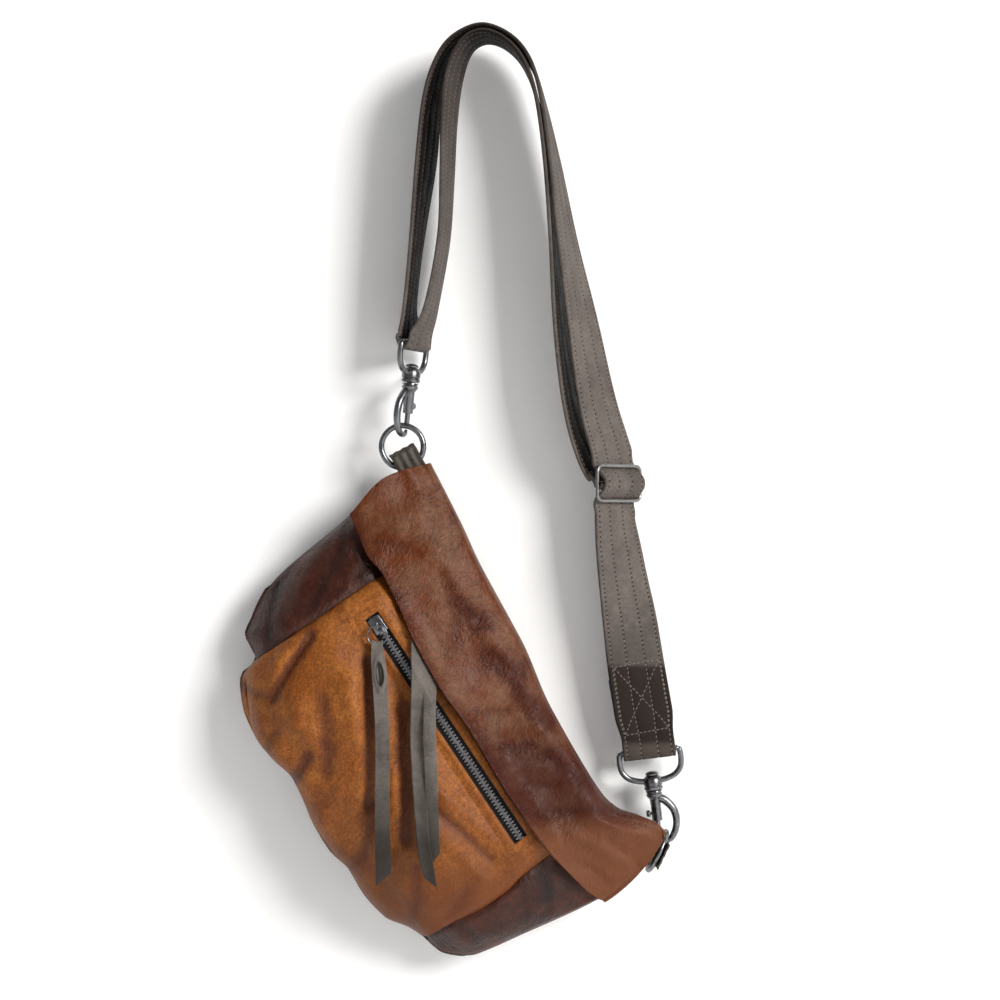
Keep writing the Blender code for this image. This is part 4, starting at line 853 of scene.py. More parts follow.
def pouch_place(s, t):
    share = np.interp(s * POUCH_COLUMNS, (0, *WINDOW_COLUMNS, POUCH_COLUMNS), (0, *WINDOW_SHARES, 1))
    u = lerp(54.0, 258.0, share)
    for _ in range(3):
        v = pouch_v(u, t)
        left, right = left_seam(v) + 0.15, right_seam(v) - 0.15
        u = lerp(left, right, share)
    y = front_y(u, v)
    from_zip = window_distance(u, v)
    from_seam = np.minimum(share, 1 - share) * (right - left)
    from_foot = bottom_edge(u) - v
    y = y - ROLL * smooth_step(0, 4, from_foot) * (1 - smooth_step(5, 24, from_foot))
    calm = smooth_step(3, 14, from_zip) * smooth_step(0, 7, from_seam) * smooth_step(0, 6, from_foot)
    calm = calm * smooth_step(57, 66, v)
    out = folds(u, v, POUCH_FOLDS) * smooth_step(5, 15, from_zip) * smooth_step(57, 66, v)
    out = out * smooth_step(0, 4, from_foot)
    out = out + calm * (0.9 * ripple(u, v, 24, 1.3) + 0.4 * ripple(u, v, 9, 2.7))
    out = out + 0.5 * np.exp(-((from_zip - 2.2) / 1.6) ** 2) - 0.5 * np.exp(-((from_zip - 6.5) / 0.8) ** 2)
    out = out - SEAM_DIP * np.exp(-(from_seam / 2.0) ** 2) * (1 - smooth_step(120, 136, v))
    foot = np.clip((t * POUCH_ROWS - FOOT_ROW) / (POUCH_ROWS - FOOT_ROW), 0, 1)
    return bag_points(u, v, lerp(y - out, SEAM_Y, foot))


def pouch_keep(s, t):
    row, column = t * POUCH_ROWS, s * POUCH_COLUMNS
    in_row = (row > WINDOW_ROWS[0]) & (row < WINDOW_ROWS[1])
    return ~(in_row & (column > WINDOW_COLUMNS[0]) & (column < WINDOW_COLUMNS[1]))


def end_place(seam, edge, guess, low, lines, side, seed):
    """Place function of an end panel: columns run from the seam to the bag's end and turn back to the rim."""
    def place(s, t):
        share = np.clip(s / 0.95, 0, 1)
        near = lerp(guess[0], guess[1], share)
        v = lerp(zip_v(MAIN_ZIP, near) + slot_half(near), low, t)
        start = seam(v) + side * 0.15
        u = lerp(start, edge(v), np.sin(share * math.pi / 2))
        from_edge = np.abs(edge(v) - u)
        out = folds(u, v, lines) + 0.7 * ripple(u, v, 15, seed) + 0.35 * ripple(u, v, 6, seed + 3)
        out = out * smooth_step(0, 5, from_edge) * smooth_step(50, 62, v)
        out = out - SEAM_DIP * np.exp(-((u - start) / 2.0) ** 2)
        rim = np.clip((s - 0.95) / 0.05, 0, 1)
        return bag_points(u, v, lerp(front_y(u, v) - out, SEAM_Y, rim))

    return place


def yoke_place(s, t):
    u = lerp(5.0, 284.0, s)
    v = lerp(fold_line(u) + 6.0, zip_v(MAIN_ZIP, u) - slot_half(u), t)
    return bag_points(u, v, front_y(u, v) - 0.3 * ripple(u, v, 12, 4.1) * smooth_step(0, 0.3, 1 - t))


def back_place(s, t):
    """A patch between the bag's four edges, with a rim that turns forward."""
    edge = np.minimum(np.minimum(s, 1 - s), np.minimum(t, 1 - t))
    rim = np.clip(1 - edge / 0.02, 0, 1)
    s, t = ((1 - np.cos(np.clip((part - 0.02) / 0.96, 0, 1) * math.pi)) / 2 for part in (s, t))
    low, left_top, right_top = 130.0, 5.0, 12.0
    left_v, right_v = lerp(left_top, low, t), lerp(right_top, low, t)
    foot_u = lerp(left_edge(low), right_edge(low), s)
    top_v = lerp(left_top, right_top, s)
    u = lerp(left_edge(left_v), right_edge(right_v), s)
    v = lerp(left_v, right_v, s) + lerp(top_v, bottom_edge(foot_u), t) - lerp(top_v, low, t)
    y = back_y(u, v) + (1 - rim) * smooth_step(0.0, 0.12, edge) * (0.5 * ripple(u, v, 30, 7.7) - 0.5)
    return bag_points(u, v, lerp(y, BACK_SEAM_Y, rim))


def binding_place(s, t):
    """The roll of leather that joins back and yoke under the flap's fold."""
    u = lerp(5.0, 284.0, s)
    angle = lerp(-2.6, 1.0, t)
    return bag_points(u, fold_line(u) + 5.6 - 2.2 * np.cos(angle), 4.6 + 2.2 * np.sin(angle))


class MakePanels(bpy.types.Operator):
    """Pouch, end panels, yoke, back and the binding under the fold."""
    bl_idname = "sling_bag.panels"
    bl_label = "Leather panels"

    def execute(self, context):
        thick = sizes().leather / MM
        pouch = grid_piece(POUCH_COLUMNS, POUCH_ROWS, pouch_place, thick, -Y_AXIS, pouch_keep)
        mark_painted_shade_and_hem(pouch, POUCH_FOLDS)
        finish_piece(pouch, "pouch_leather", "brushed_tan_leather", "bag", "pouch_panel")
        ends = (("left", left_seam, left_edge, (48, 2), 156.4, LEFT_FOLDS, -1, 5.2),
                ("right", right_seam, right_edge, (252, 294), 143.5, RIGHT_FOLDS, 1, 8.4))
        for word, seam, edge, guess, low, lines, side, seed in ends:
            panel = grid_piece(44, 84, end_place(seam, edge, guess, low, lines, side, seed), thick, -Y_AXIS)
            mark_painted_shade_and_hem(panel, lines)
            finish_piece(panel, f"end_leather_{word}", "creased_dark_leather", "bag", f"end_panel_{word}")
        yoke = grid_piece(140, 20, yoke_place, thick, -Y_AXIS)
        finish_piece(yoke, "yoke_leather", "oiled_chestnut_leather", "bag", "zip_yoke")
        back = grid_piece(110, 90, back_place, thick, Y_AXIS)
        finish_piece(back, "back_leather", "creased_dark_leather", "bag", "back_panel")
        binding = grid_piece(120, 12, binding_place, 1.0, -V_AXIS)
        finish_piece(binding, "top_binding", "oiled_chestnut_leather", "bag")
        return {"FINISHED"}


def back_lining_place(s, t):
    u = lerp(46.0, 250.0, s)
    v = lerp(28.0, bottom_edge(u) - 32.0, t)
    return bag_points(u, v, back_y(u, v) - 4.6 - 0.5 * ripple(u, v, 18, 3.3))


def pocket_lining_place(s, t):
    u = lerp(64.0, 248.0, s)
    v = lerp(zip_v(POCKET_ZIP, u) - 12.0, bottom_edge(u) - 20.0, t)
    return bag_points(u, v, front_y(u, v) + 10.0 - 0.6 * ripple(u, v, 16, 6.1))


class MakeLinings(bpy.types.Operator):
    """Cotton linings of the main compartment and of the front pocket."""
    bl_idname = "sling_bag.linings"
    bl_label = "Linings"

    def execute(self, context):
        back = grid_piece(60, 40, back_lining_place, CLOTH_THICK, Y_AXIS, rounding=0)
        finish_piece(back, "back_lining_cloth", "lining_cotton", "bag", "back_lining")
        pocket = grid_piece(60, 40, pocket_lining_place, CLOTH_THICK, -Y_AXIS, rounding=0)
        finish_piece(pocket, "pocket_lining_cloth", "lining_cotton", "bag", "pocket_lining")
        return {"FINISHED"}


# Flap

FLAP_COLUMNS = 190
FLAP_ROWS = 72


def flap_section(u):
    """The flap's section at u, as (v, y) points from its root over the fold to its free edge."""
    top, edge = fold_line(u), flap_edge(u)
    shoulder = front_y(u, top + 6.0) - FLAP_LIFT
    points = [(top, 5.2), (top - 0.2, -0.5), (top + 0.6, -5.5), (top + 2.2, lerp(-5.5, shoulder, 0.55)),
              (top + 5.4, shoulder + 1.1)]
    clear_u = max(u, 14.0)
    for share in (0.22, 0.36, 0.55, 0.78, 1.0):
        v = lerp(top, edge, share)
        y = min(plump_y(clear_u, v), front_y(clear_u, v)) - FLAP_LIFT
        points.append((v, y + (1.0 if share == 1.0 else 0.0)))
    return even_path(points, FLAP_ROWS + 1)


def flap_table():
    """Points (u, v, y) of the whole flap: its free part, then the end that the ring draws up and back."""
    rows = []
    t = np.linspace(0, 1, FLAP_ROWS + 1)
    for q in np.linspace(0, 1, FLAP_COLUMNS + 1):
        along = min(1.0, q / FLAP_SHARE)
        v, y = flap_section(FLAP_END_U * along).T
        u = FLAP_END_U * along + (left_edge(v) + 0.6) * (1 - along) ** 3
        if q > FLAP_SHARE:
            s = (q - FLAP_SHARE) / (1 - FLAP_SHARE)
            top, edge = fold_line(FLAP_END_U), flap_edge(FLAP_END_U)
            share = (v - top) / (edge - top)
            u = lerp(ear_top_u(s), ear_foot_u(s), share) + EAR_ROUND * 4 * share * (1 - share) * s ** 2
            v = lerp(ear_top_v(s), ear_foot_v(s), share)
            y = lerp(y, EAR_END_Y, smooth_step(0, 1, s))
            y = np.where(v > 5, np.minimum(y, front_y(u, v) - FLAP_LIFT + 1.0), y)
            v = v - 1.4 * ripple(u, v * 0.2, 8, 9.5) * smooth_step(0, 0.4, s) * (1 - smooth_step(0.2, 0.5, t))
        out = folds(u, v, FLAP_FOLDS) + 1.1 * ripple(u, v, 30, 1.9) + 0.45 * ripple(u, v, 11, 5.6)
        rows.append(np.column_stack((u, v, y - out * smooth_step(0.16, 0.34, t))))
    return np.array(rows)


class MakeFlap(bpy.types.Operator):
    """The fold-over flap with its sewn end, one sheet from the bag over the hinge to its free edge."""
    bl_idname = "sling_bag.flap"
    bl_label = "Flap"

    def execute(self, context):
        table = flap_table()
        place = table_place(bag_points(table[..., 0], table[..., 1], table[..., 2]))
        flap = grid_piece(FLAP_COLUMNS, FLAP_ROWS, place, sizes().leather / MM, -Y_AXIS)
        mark_painted_shade_and_hem(flap, FLAP_FOLDS, flap_edge)
        finish_piece(flap, "flap_leather", "oiled_chestnut_leather", None, "flap", "flap_end")
        held, free = bag_points(np.array((270.0, 205.0)), np.array((15.0, 15.0)), np.array((-15.0, -15.0)))
        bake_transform(flap)
        return {"FINISHED"}


# Zips

def zip_frame(line, u, out_of=0.0):
    """A frame on a zip: X along it, Z out of the bag, from the teeth's back."""
    run = U_AXIS + V_AXIS * line["slope"]
    run = run / np.linalg.norm(run)
    spot = bag_points(np.array(u), np.array(zip_v(line, u) + out_of), np.array(line["y"] + TAPE_BACK - 0.3))
    return frame_of(spot, run, np.cross(-Y_AXIS, run), -Y_AXIS)


def tape_place(line, side, gap):
    def place(s, t):
        u = lerp(line["start"] - 1.5, line["end"] + 1.5, s)
        out = lerp(0.4, TAPE_HALF, t)
        bead = 0.25 * np.exp(-((out - 0.9) / 0.7) ** 2)
        return bag_points(u, zip_v(line, u) + side * (out + gap(u)), line["y"] + TAPE_BACK - bead)

    return place


def tooth():
    """One moulded tooth: a rounded head on a clamp that grips the tape's edge."""
    head = block((-0.45, -1.0, 0.15), (0.45, 0.9, 1.75), 0.3)
    clamp = block((-0.6, 0.5, 0.05), (0.6, 2.5, 1.6), 0.3)
    return join([head, clamp])


def teeth_row(line, side, gap, pitch):
    count = int((line["end"] - line["start"] - 3) / pitch)
    first = line["start"] + 1.6 + (0 if side > 0 else pitch / 2)
    flip = Matrix.Diagonal((1, 1, 1, 1)) if side < 0 else Matrix.Rotation(math.pi, 4, "Z")
    spots = [first + k * pitch for k in range(count)]
    return repeat(tooth(), [zip_frame(line, u, side * float(gap(np.array(u)))) @ flip for u in spots])


class MakeZips(bpy.types.Operator):
    """Tapes and single teeth of the pocket zip and of the main zip, which stands open."""
    bl_idname = "sling_bag.zips"
    bl_label = "Zips"

    def execute(self, context):
        for prefix, line, gap, pitch in (("pocket_zip", POCKET_ZIP, closed_half, 2.3),
                                         ("main_zip", MAIN_ZIP, mouth_half, 2.6)):
            for word, side in (("upper", -1), ("lower", 1)):
                tape = grid_piece(120, 8, tape_place(line, side, gap), CLOTH_THICK, -Y_AXIS, rounding=0)
                finish_piece(tape, f"{prefix}_cloth_{word}", "zip_tape_weave", "bag", f"{prefix}_tape_{word}")
                teeth = teeth_row(line, side, gap, pitch)
                finish_piece(teeth, f"{prefix}_tooth_row_{word}", "gunmetal_plate", "bag",
                             f"{prefix}_teeth_{word}")
        return {"FINISHED"}


def slider_piece(line, u, eye, turn):
    """A cast slider: waisted top plate, side rails, nose and an arched staple for the pull."""
    plate = block((-5.5, -4.2, 2.25), (5.5, 4.2, 3.2), 0.42, 3)
    for vert in plate.data.vertices:
        share = vert.co.x / MM / 11 + 0.5
        vert.co.y *= lerp(0.78, 1.0, share) if share > 0.35 else lerp(0.9, 0.85, share)
    rails = [block((-5.0, side * 3.65 - 0.5, 0.25), (5.2, side * 3.65 + 0.5, 2.7), 0.3) for side in (-1, 1)]
    nose = block((2.2, -1.7, 2.9), (6.6, 1.7, 4.0), 0.4)
    high = 3.2 + eye + 2.0
    arch = even_path([(0, -2.7, 2.8), (0, -2.7, high - 1.6), (0, -1.7, high - 0.2), (0, 0, high),
                      (0, 1.7, high - 0.2), (0, 2.7, high - 1.6), (0, 2.7, 2.8)], 28)
    staple = wire(arch, 0.6)
    staple.data.transform(Matrix.Rotation(turn, 4, "Z"))
    slider = join([plate, nose, staple, *rails])
    slider.data.transform(zip_frame(line, u))
    return slider


def strip_piece(stations, columns, shape, thickness):
    """A strip of leather along (x, y, z, width) stations; shape(across, down, spots) moves its points."""
    across = np.linspace(-0.5, 0.5, columns + 1)
    down = np.linspace(0, 1, len(stations))
    spots = np.repeat(stations[None, :, :3], columns + 1, axis=0)
    spots[..., 0] += across[:, None] * stations[None, :, 3]
    spots = spots + shape(across[:, None] * stations[None, :, 3], down[None, :], spots)
    return grid_piece(columns, len(stations) - 1, table_place(spots), thickness, -Y_AXIS)


RING_LOW = (-69.64, -32.4, -382.81)
MAIN_EYE = (-39.54, -14.2, -350.08)
MAIN_RUN = np.array((0.54257, 0.0, -0.84001))
PULL_RING_R = 6.1
PULL_WIRE_R = 0.55
STRIP_THICK = 1.4
SLIDER_STOPS = (-10, -20, -30)


def slit_share(across, fall):
    """Distance from the middle of the strip's oval slit, 1 at its lips."""
    return np.hypot(across / 3.4, (fall - 17.5) / 10.0)


def mark_slit(obj):
    """Paints shade into the slit of the looped strip, between its lips and along its cut."""
    x, _, z = (points_of(obj.data) / MM).T
    fall = RING_LOW[2] - z
    across = x - RING_LOW[0] - np.interp(fall, (9, 20, 45), (0.8, 2.0, 3.2))
    oval = slit_share(across, fall)
    cut = np.exp(-(across / 0.8) ** 2) * (oval < 0.75)
    depth = np.maximum(0.9 * np.exp(-((oval - 0.62) / 0.14) ** 2), cut)
    obj.data.attributes.new("painted_shade_and_hem", "FLOAT", "POINT").data.foreach_set("value", depth)


def ring_strip_shape(across, down, spots):
    """The looped strip saddles on the ring, has an oval lipped slit and a slanting cut end."""
    fall = RING_LOW[2] - spots[..., 2]
    moved = np.zeros(spots.shape)
    saddle = PULL_RING_R - np.sqrt(np.maximum(PULL_RING_R ** 2 - np.minimum(np.abs(across), 4.4) ** 2, 1))
    moved[..., 2] += saddle * (1 - smooth_step(0, 14, fall))
    oval = slit_share(across, fall)
    front = smooth_step(0.06, 0.1, down)
    moved[..., 1] -= front * (1.1 * np.exp(-((oval - 0.85) / 0.25) ** 2) - 1.2 * np.exp(-(oval / 0.5) ** 2))
    moved[..., 1] -= 0.35 * np.sin(fall / 21) * smooth_step(30, 50, fall)
    moved[..., 2] += across * 0.9 * smooth_step(0.9, 1.0, down)
    moved[..., 0] += 0.5 * np.sin(fall / 34) * smooth_step(30, 60, fall)
    return moved


def looped_stations():
    x, y, z = RING_LOW
    r = PULL_WIRE_R + 0.5 + STRIP_THICK
    route = [(x, y + r, z - 1.5, 6.5), (x, y + r * 0.7, z + r * 0.7, 6.5), (x, y, z + r, 6.5),
             (x, y - r * 0.7, z + r * 0.7, 6.6), (x, y - r, z - 2.0, 7.0),
             (x + 0.8, y - r - 1.2, z - 9.0, 8.6), (x + 2.0, y - r - 3.8, z - 20.0, 9.4),
             (x + 3.2, -42.4, z - 45.0, 8.6), (x + 3.6, -42.6, z - 100.0, 9.0),
             (x + 5.0, -42.6, z - 143.0, 9.6)]
    return even_path(route, 190)


def under_flap(spots):
    """Depth of a strip midway between pouch and flap, how much it holds there, and the flap's underside."""
    away = spots - BAG_ORIGIN
    u, v = away @ U_AXIS, away @ V_AXIS
    pouch = front_y(u, v)
    cover = np.minimum(plump_y(u, v), pouch) - FLAP_LIFT + 1.8
    edge = flap_edge(u)
    held = smooth_step(43, 48, v) * (1 - smooth_step(edge + 0.6, edge + 8.5, v))
    return (pouch + cover - 1.4) / 2, held, np.where(v < edge + 0.6, cover, -100.0)


def strand_shape(side, slant):
    """Keeps a strand of the main pull under the flap, also where its slider takes it."""
    def shape(across, down, spots):
        moved = np.zeros(spots.shape)
        depth, held, cover = under_flap(spots)
        moved[..., 1] = (depth - spots[..., 1]) * held
        for slid in SLIDER_STOPS:
            cover = np.maximum(cover, under_flap(spots + MAIN_RUN * slid)[2])
        moved[..., 1] += np.maximum(cover + 2.4 - spots[..., 1] - moved[..., 1], 0)
        moved[..., 1] -= 0.5 * (across / 3.8) ** 2 * side * (1 - held) * smooth_step(0.3, 0.45, down)
        moved[..., 2] += across * slant * smooth_step(0.93, 1.0, down)
        return moved

    return shape


STRAND_FALLS = (28.0, 36.0, 47.0, 60.0, 76.0, 95.0, 150.0)
STRAND_DEPTHS = (-36.4, -37.7, -39.1, -41.1, -43.7, -45.6, -45.6)
LEFT_STEPS = (-4.8, -4.8, -4.8, -4.8, -5.0, -5.0, -1.2, 3.5)
LEFT_LIFTS = (0, 0, 0, 0, -0.6, -0.8, 1.9, 2.2)
RIGHT_STEPS = (2.8, 2.8, 2.8, 2.8, 2.8, 3.2, 4.9, 5.5)
RIGHT_LIFTS = (0, 0, 0, 0.8, 2.4, 3.2, 0.2, -0.4)


def strand_stations(steps, lift, wide, end):
    """Stations of one strand of the main pull: sideways steps and lifts at each fall, then its end."""
    x, y, z = MAIN_EYE
    front = y - 0.7
    route = [(x, front, z + 4.5, 3.2), (x, front, z - 4.5, 3.2),
             (x + steps[0] * 0.4, front - 1.0, z - 14.0, wide * 0.8),
             (x + steps[0] * 0.7, front - 7.0, z - 21.5, wide * 0.9)]
    for step, rise, fall, depth in zip(steps, lift, STRAND_FALLS, STRAND_DEPTHS):
        route.append((x + step, depth - rise, z - fall, wide))
    route.append((x + steps[-1], STRAND_DEPTHS[-1] - lift[-1], z - end, wide))
    return even_path(route, 180)


class MakePulls(bpy.types.Operator):
    """Sliders, the split ring and the leather strips that pull the zips."""
    bl_idname = "sling_bag.pulls"
    bl_label = "Zip pulls"

    def execute(self, context):
        slider = slider_piece(POCKET_ZIP, 75.0, 3.6, BAG_TILT)
        finish_piece(slider, "pocket_slider_cast", "polished_nickel_plate", "pocket_slider", "pocket_slider")
        centre = np.array(RING_LOW) + (0, 0, PULL_RING_R)
        angle = np.linspace(0, 4 * math.pi, 97)
        coil = centre + np.column_stack((np.sin(angle), np.zeros(97), np.cos(angle))) * PULL_RING_R
        coil[:, 1] += np.linspace(-0.5, 0.5, 97)
        ring = wire(coil, PULL_WIRE_R)
        finish_piece(ring, "split_ring", "polished_nickel_plate", "pocket_pull_ring", "pocket_pull_ring")
        strip = strip_piece(looped_stations(), 18, ring_strip_shape, STRIP_THICK)
        mark_slit(strip)
        finish_piece(strip, "pocket_pull_leather", "strip_leather", "pocket_pull_strip", "pocket_pull_strip")
        slider = slider_piece(MAIN_ZIP, 71.0, 1.4, BAG_TILT + math.pi / 2)
        finish_piece(slider, "main_slider_cast", "polished_nickel_plate", "main_slider", "main_slider")
        wide = sizes().strip_width / MM * 0.86
        strands = (("left", LEFT_STEPS, LEFT_LIFTS, 177.0, 1, -0.8, ["main_pull_strip"]),
                   ("right", RIGHT_STEPS, RIGHT_LIFTS, 164.0, -1, 1.2, []))
        for word, steps, lifts, end, side, slant, nodes in strands:
            strand = strip_piece(strand_stations(steps, lifts, wide, end), 8, strand_shape(side, slant),
                                 STRIP_THICK)
            finish_piece(strand, f"main_pull_strand_{word}", "strip_leather", "main_slider", *nodes)
        return {"FINISHED"}


# Rings, tabs and snaps

def snap_frame(snap):
    up = -snap["down"].normalized()
    x = (snap["bulge"] - up * snap["bulge"].dot(up)).normalized()
    return frame_of(snap["at"], x, up.cross(x), up)


def ring_centre(snap, run):
    return snap_frame(snap) @ (WIRE_IN_HOOK * MM) / MM - run * RING_R


def ring_piece(centre, run, across):
    ring = add_primitive(bpy.ops.mesh.primitive_torus_add, major_segments=80, minor_segments=20,
                         major_radius=RING_R * MM, minor_radius=RING_WIRE_R * MM)
    ring.data.transform(frame_of(centre, run, across, Vector(run).cross(Vector(across))))
    ring.data.shade_smooth()
    return ring


def tab_piece(centre, leg, wide, legs_long, gather):
    """A strip folded through a ring, gathered into pleats where the ring pulls it."""
    leg, wide = Vector(leg), Vector(wide)
    out = leg.cross(wide).normalized()
    reach = TAB_REACH
    bend = [(-math.sin(a) * reach, math.cos(a) * reach) for a in np.linspace(0, math.pi, 17)[1:-1]]
    section = even_path([(legs_long, reach, 0), (legs_long / 2, reach, 0), (0, reach, 0)], 12).tolist()
    section += [(a, b, 0) for a, b in bend]
    section += even_path([(0, -reach, 0), (legs_long / 2, -reach, 0), (legs_long, -reach, 0)], 12).tolist()
    table = np.empty((len(section), TAB_ROWS + 1, 3))
    for i, (a, b, _) in enumerate(section):
        for j, w in enumerate(np.linspace(-0.5, 0.5, TAB_ROWS + 1)):
            pinch = math.exp(-((a - 3.0) / 7.0) ** 2)
            fold = gather * math.sin(w * 21) * (0.35 + 0.65 * pinch)
            spread = TAB_WIDE * (1 - 0.1 * gather * pinch)
            lift = math.copysign(1.0, b) * fold if abs(b) > 2.5 else 0.0
            ahead = a + (fold * 0.6 if a < 0 else 0)
            table[i, j] = Vector(centre) + leg * ahead + out * (b + lift * 0.8) + wide * w * spread
    return grid_piece(len(section) - 1, TAB_ROWS, table_place(table), TAB_THICK, -leg)


class MakeRings(bpy.types.Operator):
    """The two O rings and the leather tabs that hold them."""
    bl_idname = "sling_bag.rings"
    bl_label = "Rings and tabs"

    def execute(self, context):
        up = Vector((0, 0, 1))
        left = ring_centre(UPPER_SNAP, up)
        ring = ring_piece(left, Matrix.Rotation(math.radians(-2.0), 3, "Z") @ Vector((1, 0, 0)), up)
        finish_piece(ring, "ring_left_wire", "polished_nickel_plate", "ring_left", "ring_left")
        tab = tab_piece(left + Vector(U_AXIS) * 4.8 + Vector(V_AXIS) * 1.4, U_AXIS, V_AXIS, 13.5, 0.7)
        finish_piece(tab, "tab_left", "tab_leather", "bag", "ring_tab_left")
        right = ring_centre(LOWER_SNAP, RIGHT_RING_RUN)
        ring = ring_piece(right, Vector(Y_AXIS), RIGHT_RING_RUN)
        finish_piece(ring, "ring_right_wire", "polished_nickel_plate", "ring_right", "ring_right")
        tab = tab_piece(right - Vector(Y_AXIS) * 7.0, -Y_AXIS, RIGHT_RING_RUN, 8.4, 0.3)
        finish_piece(tab, "tab_right", "tab_leather", "bag", "ring_tab_right")
        return {"FINISHED"}


def snap_eye(turn):
    """A D eye with rounded shoulders on a turned, grooved boss."""
    half = [(-4.2, 0, 8.6), (-9.5, 0, 9.4), (-15.0, 0, 11.6), (-18.6, 0, 15.6), (-19.7, 0, 20.5),
            (-19.7, 0, 25.0), (-19.3, 0, 26.9), (-17.9, 0, 27.9), (-15.5, 0, 28.0)]
    path = half + [(-x, y, z) for x, y, z in reversed(half)]
    loop = wire(even_path(path, 110), EYE_WIRE_R)
    boss = lathe([(2.8, 2.9), (5.2, 2.9), (5.9, 3.5), (6.0, 4.8), (5.5, 5.3), (5.5, 5.8), (6.0, 6.3),
                  (6.0, 8.4), (5.5, 10.4), (4.6, 11.7), (3.6, 12.3), (2.8, 12.3), (2.8, 2.9)])
    eye = join([loop, boss])
    eye.data.transform(Matrix.Rotation(turn, 4, "Z"))
    return eye


def snap_hook():
    """Swivel head, ribbed collar, slotted barrel and a hook that tapers to its tip."""
    turned = lathe([(0, -17.0), (2.0, -17.0), (3.0, -16.9), (3.3, -16.4), (3.3, -3.2), (3.9, -2.4),
                    (4.6, -1.6), (5.1, -0.8), (5.2, 0.4), (4.6, 0.9), (4.6, 1.4), (5.2, 1.8), (5.1, 2.4),
                    (4.6, 2.5), (2.5, 2.5), (2.5, 12.6), (4.2, 12.7), (4.3, 13.4), (3.4, 14.3), (1.8, 14.8),
                    (0, 14.9)])
    turned = cut(turned, block((-8, -1.25, -13.5), (0, 1.25, -6.2), 0.8, 3))
    path = even_path([(x, 0, z) for x, z in HOOK_PATH], 60)
    radii = np.interp(np.linspace(0, 1, 60), (0, 0.12, 0.35, 0.7, 0.93, 1),
                      (1.25, 1.2, 1.08, 0.95, 0.72, 0.4))
    return join([turned, wire(path, 2.3, radii=radii)])


def snap_bolt():
    """Sliding bolt with a mushroom knob."""
    rod = lathe([(0, -24.3), (1.1, -24.3), (1.6, -23.9), (1.7, -23.4), (1.7, -10.3), (1.4, -10.0),
                 (0, -10.0)])
    knob = lathe([(0, 0), (0.9, 0), (0.9, 3.8), (1.9, 4.1), (2.3, 4.7), (2.3, 5.6), (1.9, 6.3), (1.0, 6.6),
                  (0, 6.6)], 28)
    knob.data.transform(Matrix.Translation((0, 0, -12.0 * MM)) @ Matrix.Rotation(-math.pi / 2, 4, "Y"))
    return join([rod, knob])


def snap_spring():
    """Coil between the bolt and the roof of its bore."""
    angle = np.linspace(0, 10 * math.pi, 121)
    height = np.linspace(*SPRING_ENDS, 121)
    return wire(np.column_stack((1.25 * np.cos(angle), 1.25 * np.sin(angle), height)), 0.3)


class MakeSnaps(bpy.types.Operator):
    """The two swivel snaps: eye, hook, sliding bolt and the spring that the bolt presses together."""
    bl_idname = "sling_bag.snaps"
    bl_label = "Swivel snaps"

    def execute(self, context):
        for word, snap in (("upper", UPPER_SNAP), ("lower", LOWER_SNAP)):
            place = snap_frame(snap)
            run = place.to_3x3().inverted() @ snap["run"]
            for piece, body, obj in (("eye", "bag", snap_eye(math.atan2(run.y, run.x))),
                                     ("hook", f"{word}_hook", snap_hook()),
                                     ("bolt", f"{word}_bolt", snap_bolt())):
                obj.data.transform(place)
                finish_piece(obj, f"{word}_{piece}_cast", "polished_nickel_plate", body,
                             f"{word}_snap_{piece}")
            spring = snap_spring()
            spring.data.transform(place)
            finish_piece(spring, f"{word}_spring_coil", "spring_wire", None, f"{word}_snap_spring")
            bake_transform(spring)
        return {"FINISHED"}


# Strap and buckle

def eye_bar(snap):
    return snap["at"] - snap["down"].normalized() * EYE_BAR_Z


def buckle_axes():
    turn = math.radians(BUCKLE_TURN)
    face = Vector((math.cos(turn), -math.sin(turn), 0.0))
    return Vector((0, 0, 1)).cross(face), face


def under_bar(bar, wide, down, wire_r, turn):
    """Half a turn of strap under a bar, from its back to its front."""
    radius = wire_r + 0.6 + sizes().strap_thickness / MM / 2
    side, low = down.cross(wide).normalized() * radius, down.normalized() * radius
    return [(*(bar - side * math.cos(a) + low * math.sin(a)), turn) for a in np.linspace(0, math.pi, 9)]


def strap_route():
    """All of the strap's points as (x, y, z, turn, rise of its width)."""
    lower = under_bar(eye_bar(LOWER_SNAP), LOWER_SNAP["run"], LOWER_SNAP["down"], EYE_WIRE_R, 90)
    upper = under_bar(eye_bar(UPPER_SNAP), UPPER_SNAP["run"], UPPER_SNAP["down"], EYE_WIRE_R, 22)
    wide, face = buckle_axes()
    bar = under_bar(BUCKLE_AT - face, wide, Vector((0, 0, -1)), BUCKLE_WIRE_R, BUCKLE_TURN)
    first = [(*p, LOWER_RISE) for p in (*SEWN_END, *lower)]
    rises = np.linspace(LOWER_RISE, 0.0, len(LOWER_RUN))
    first += [(*p, rise) for p, rise in zip(LOWER_RUN, rises)]
    return first + [(*p, 0.0) for p in (*OUTER_RUN, *upper, *INNER_RUN, *bar)]


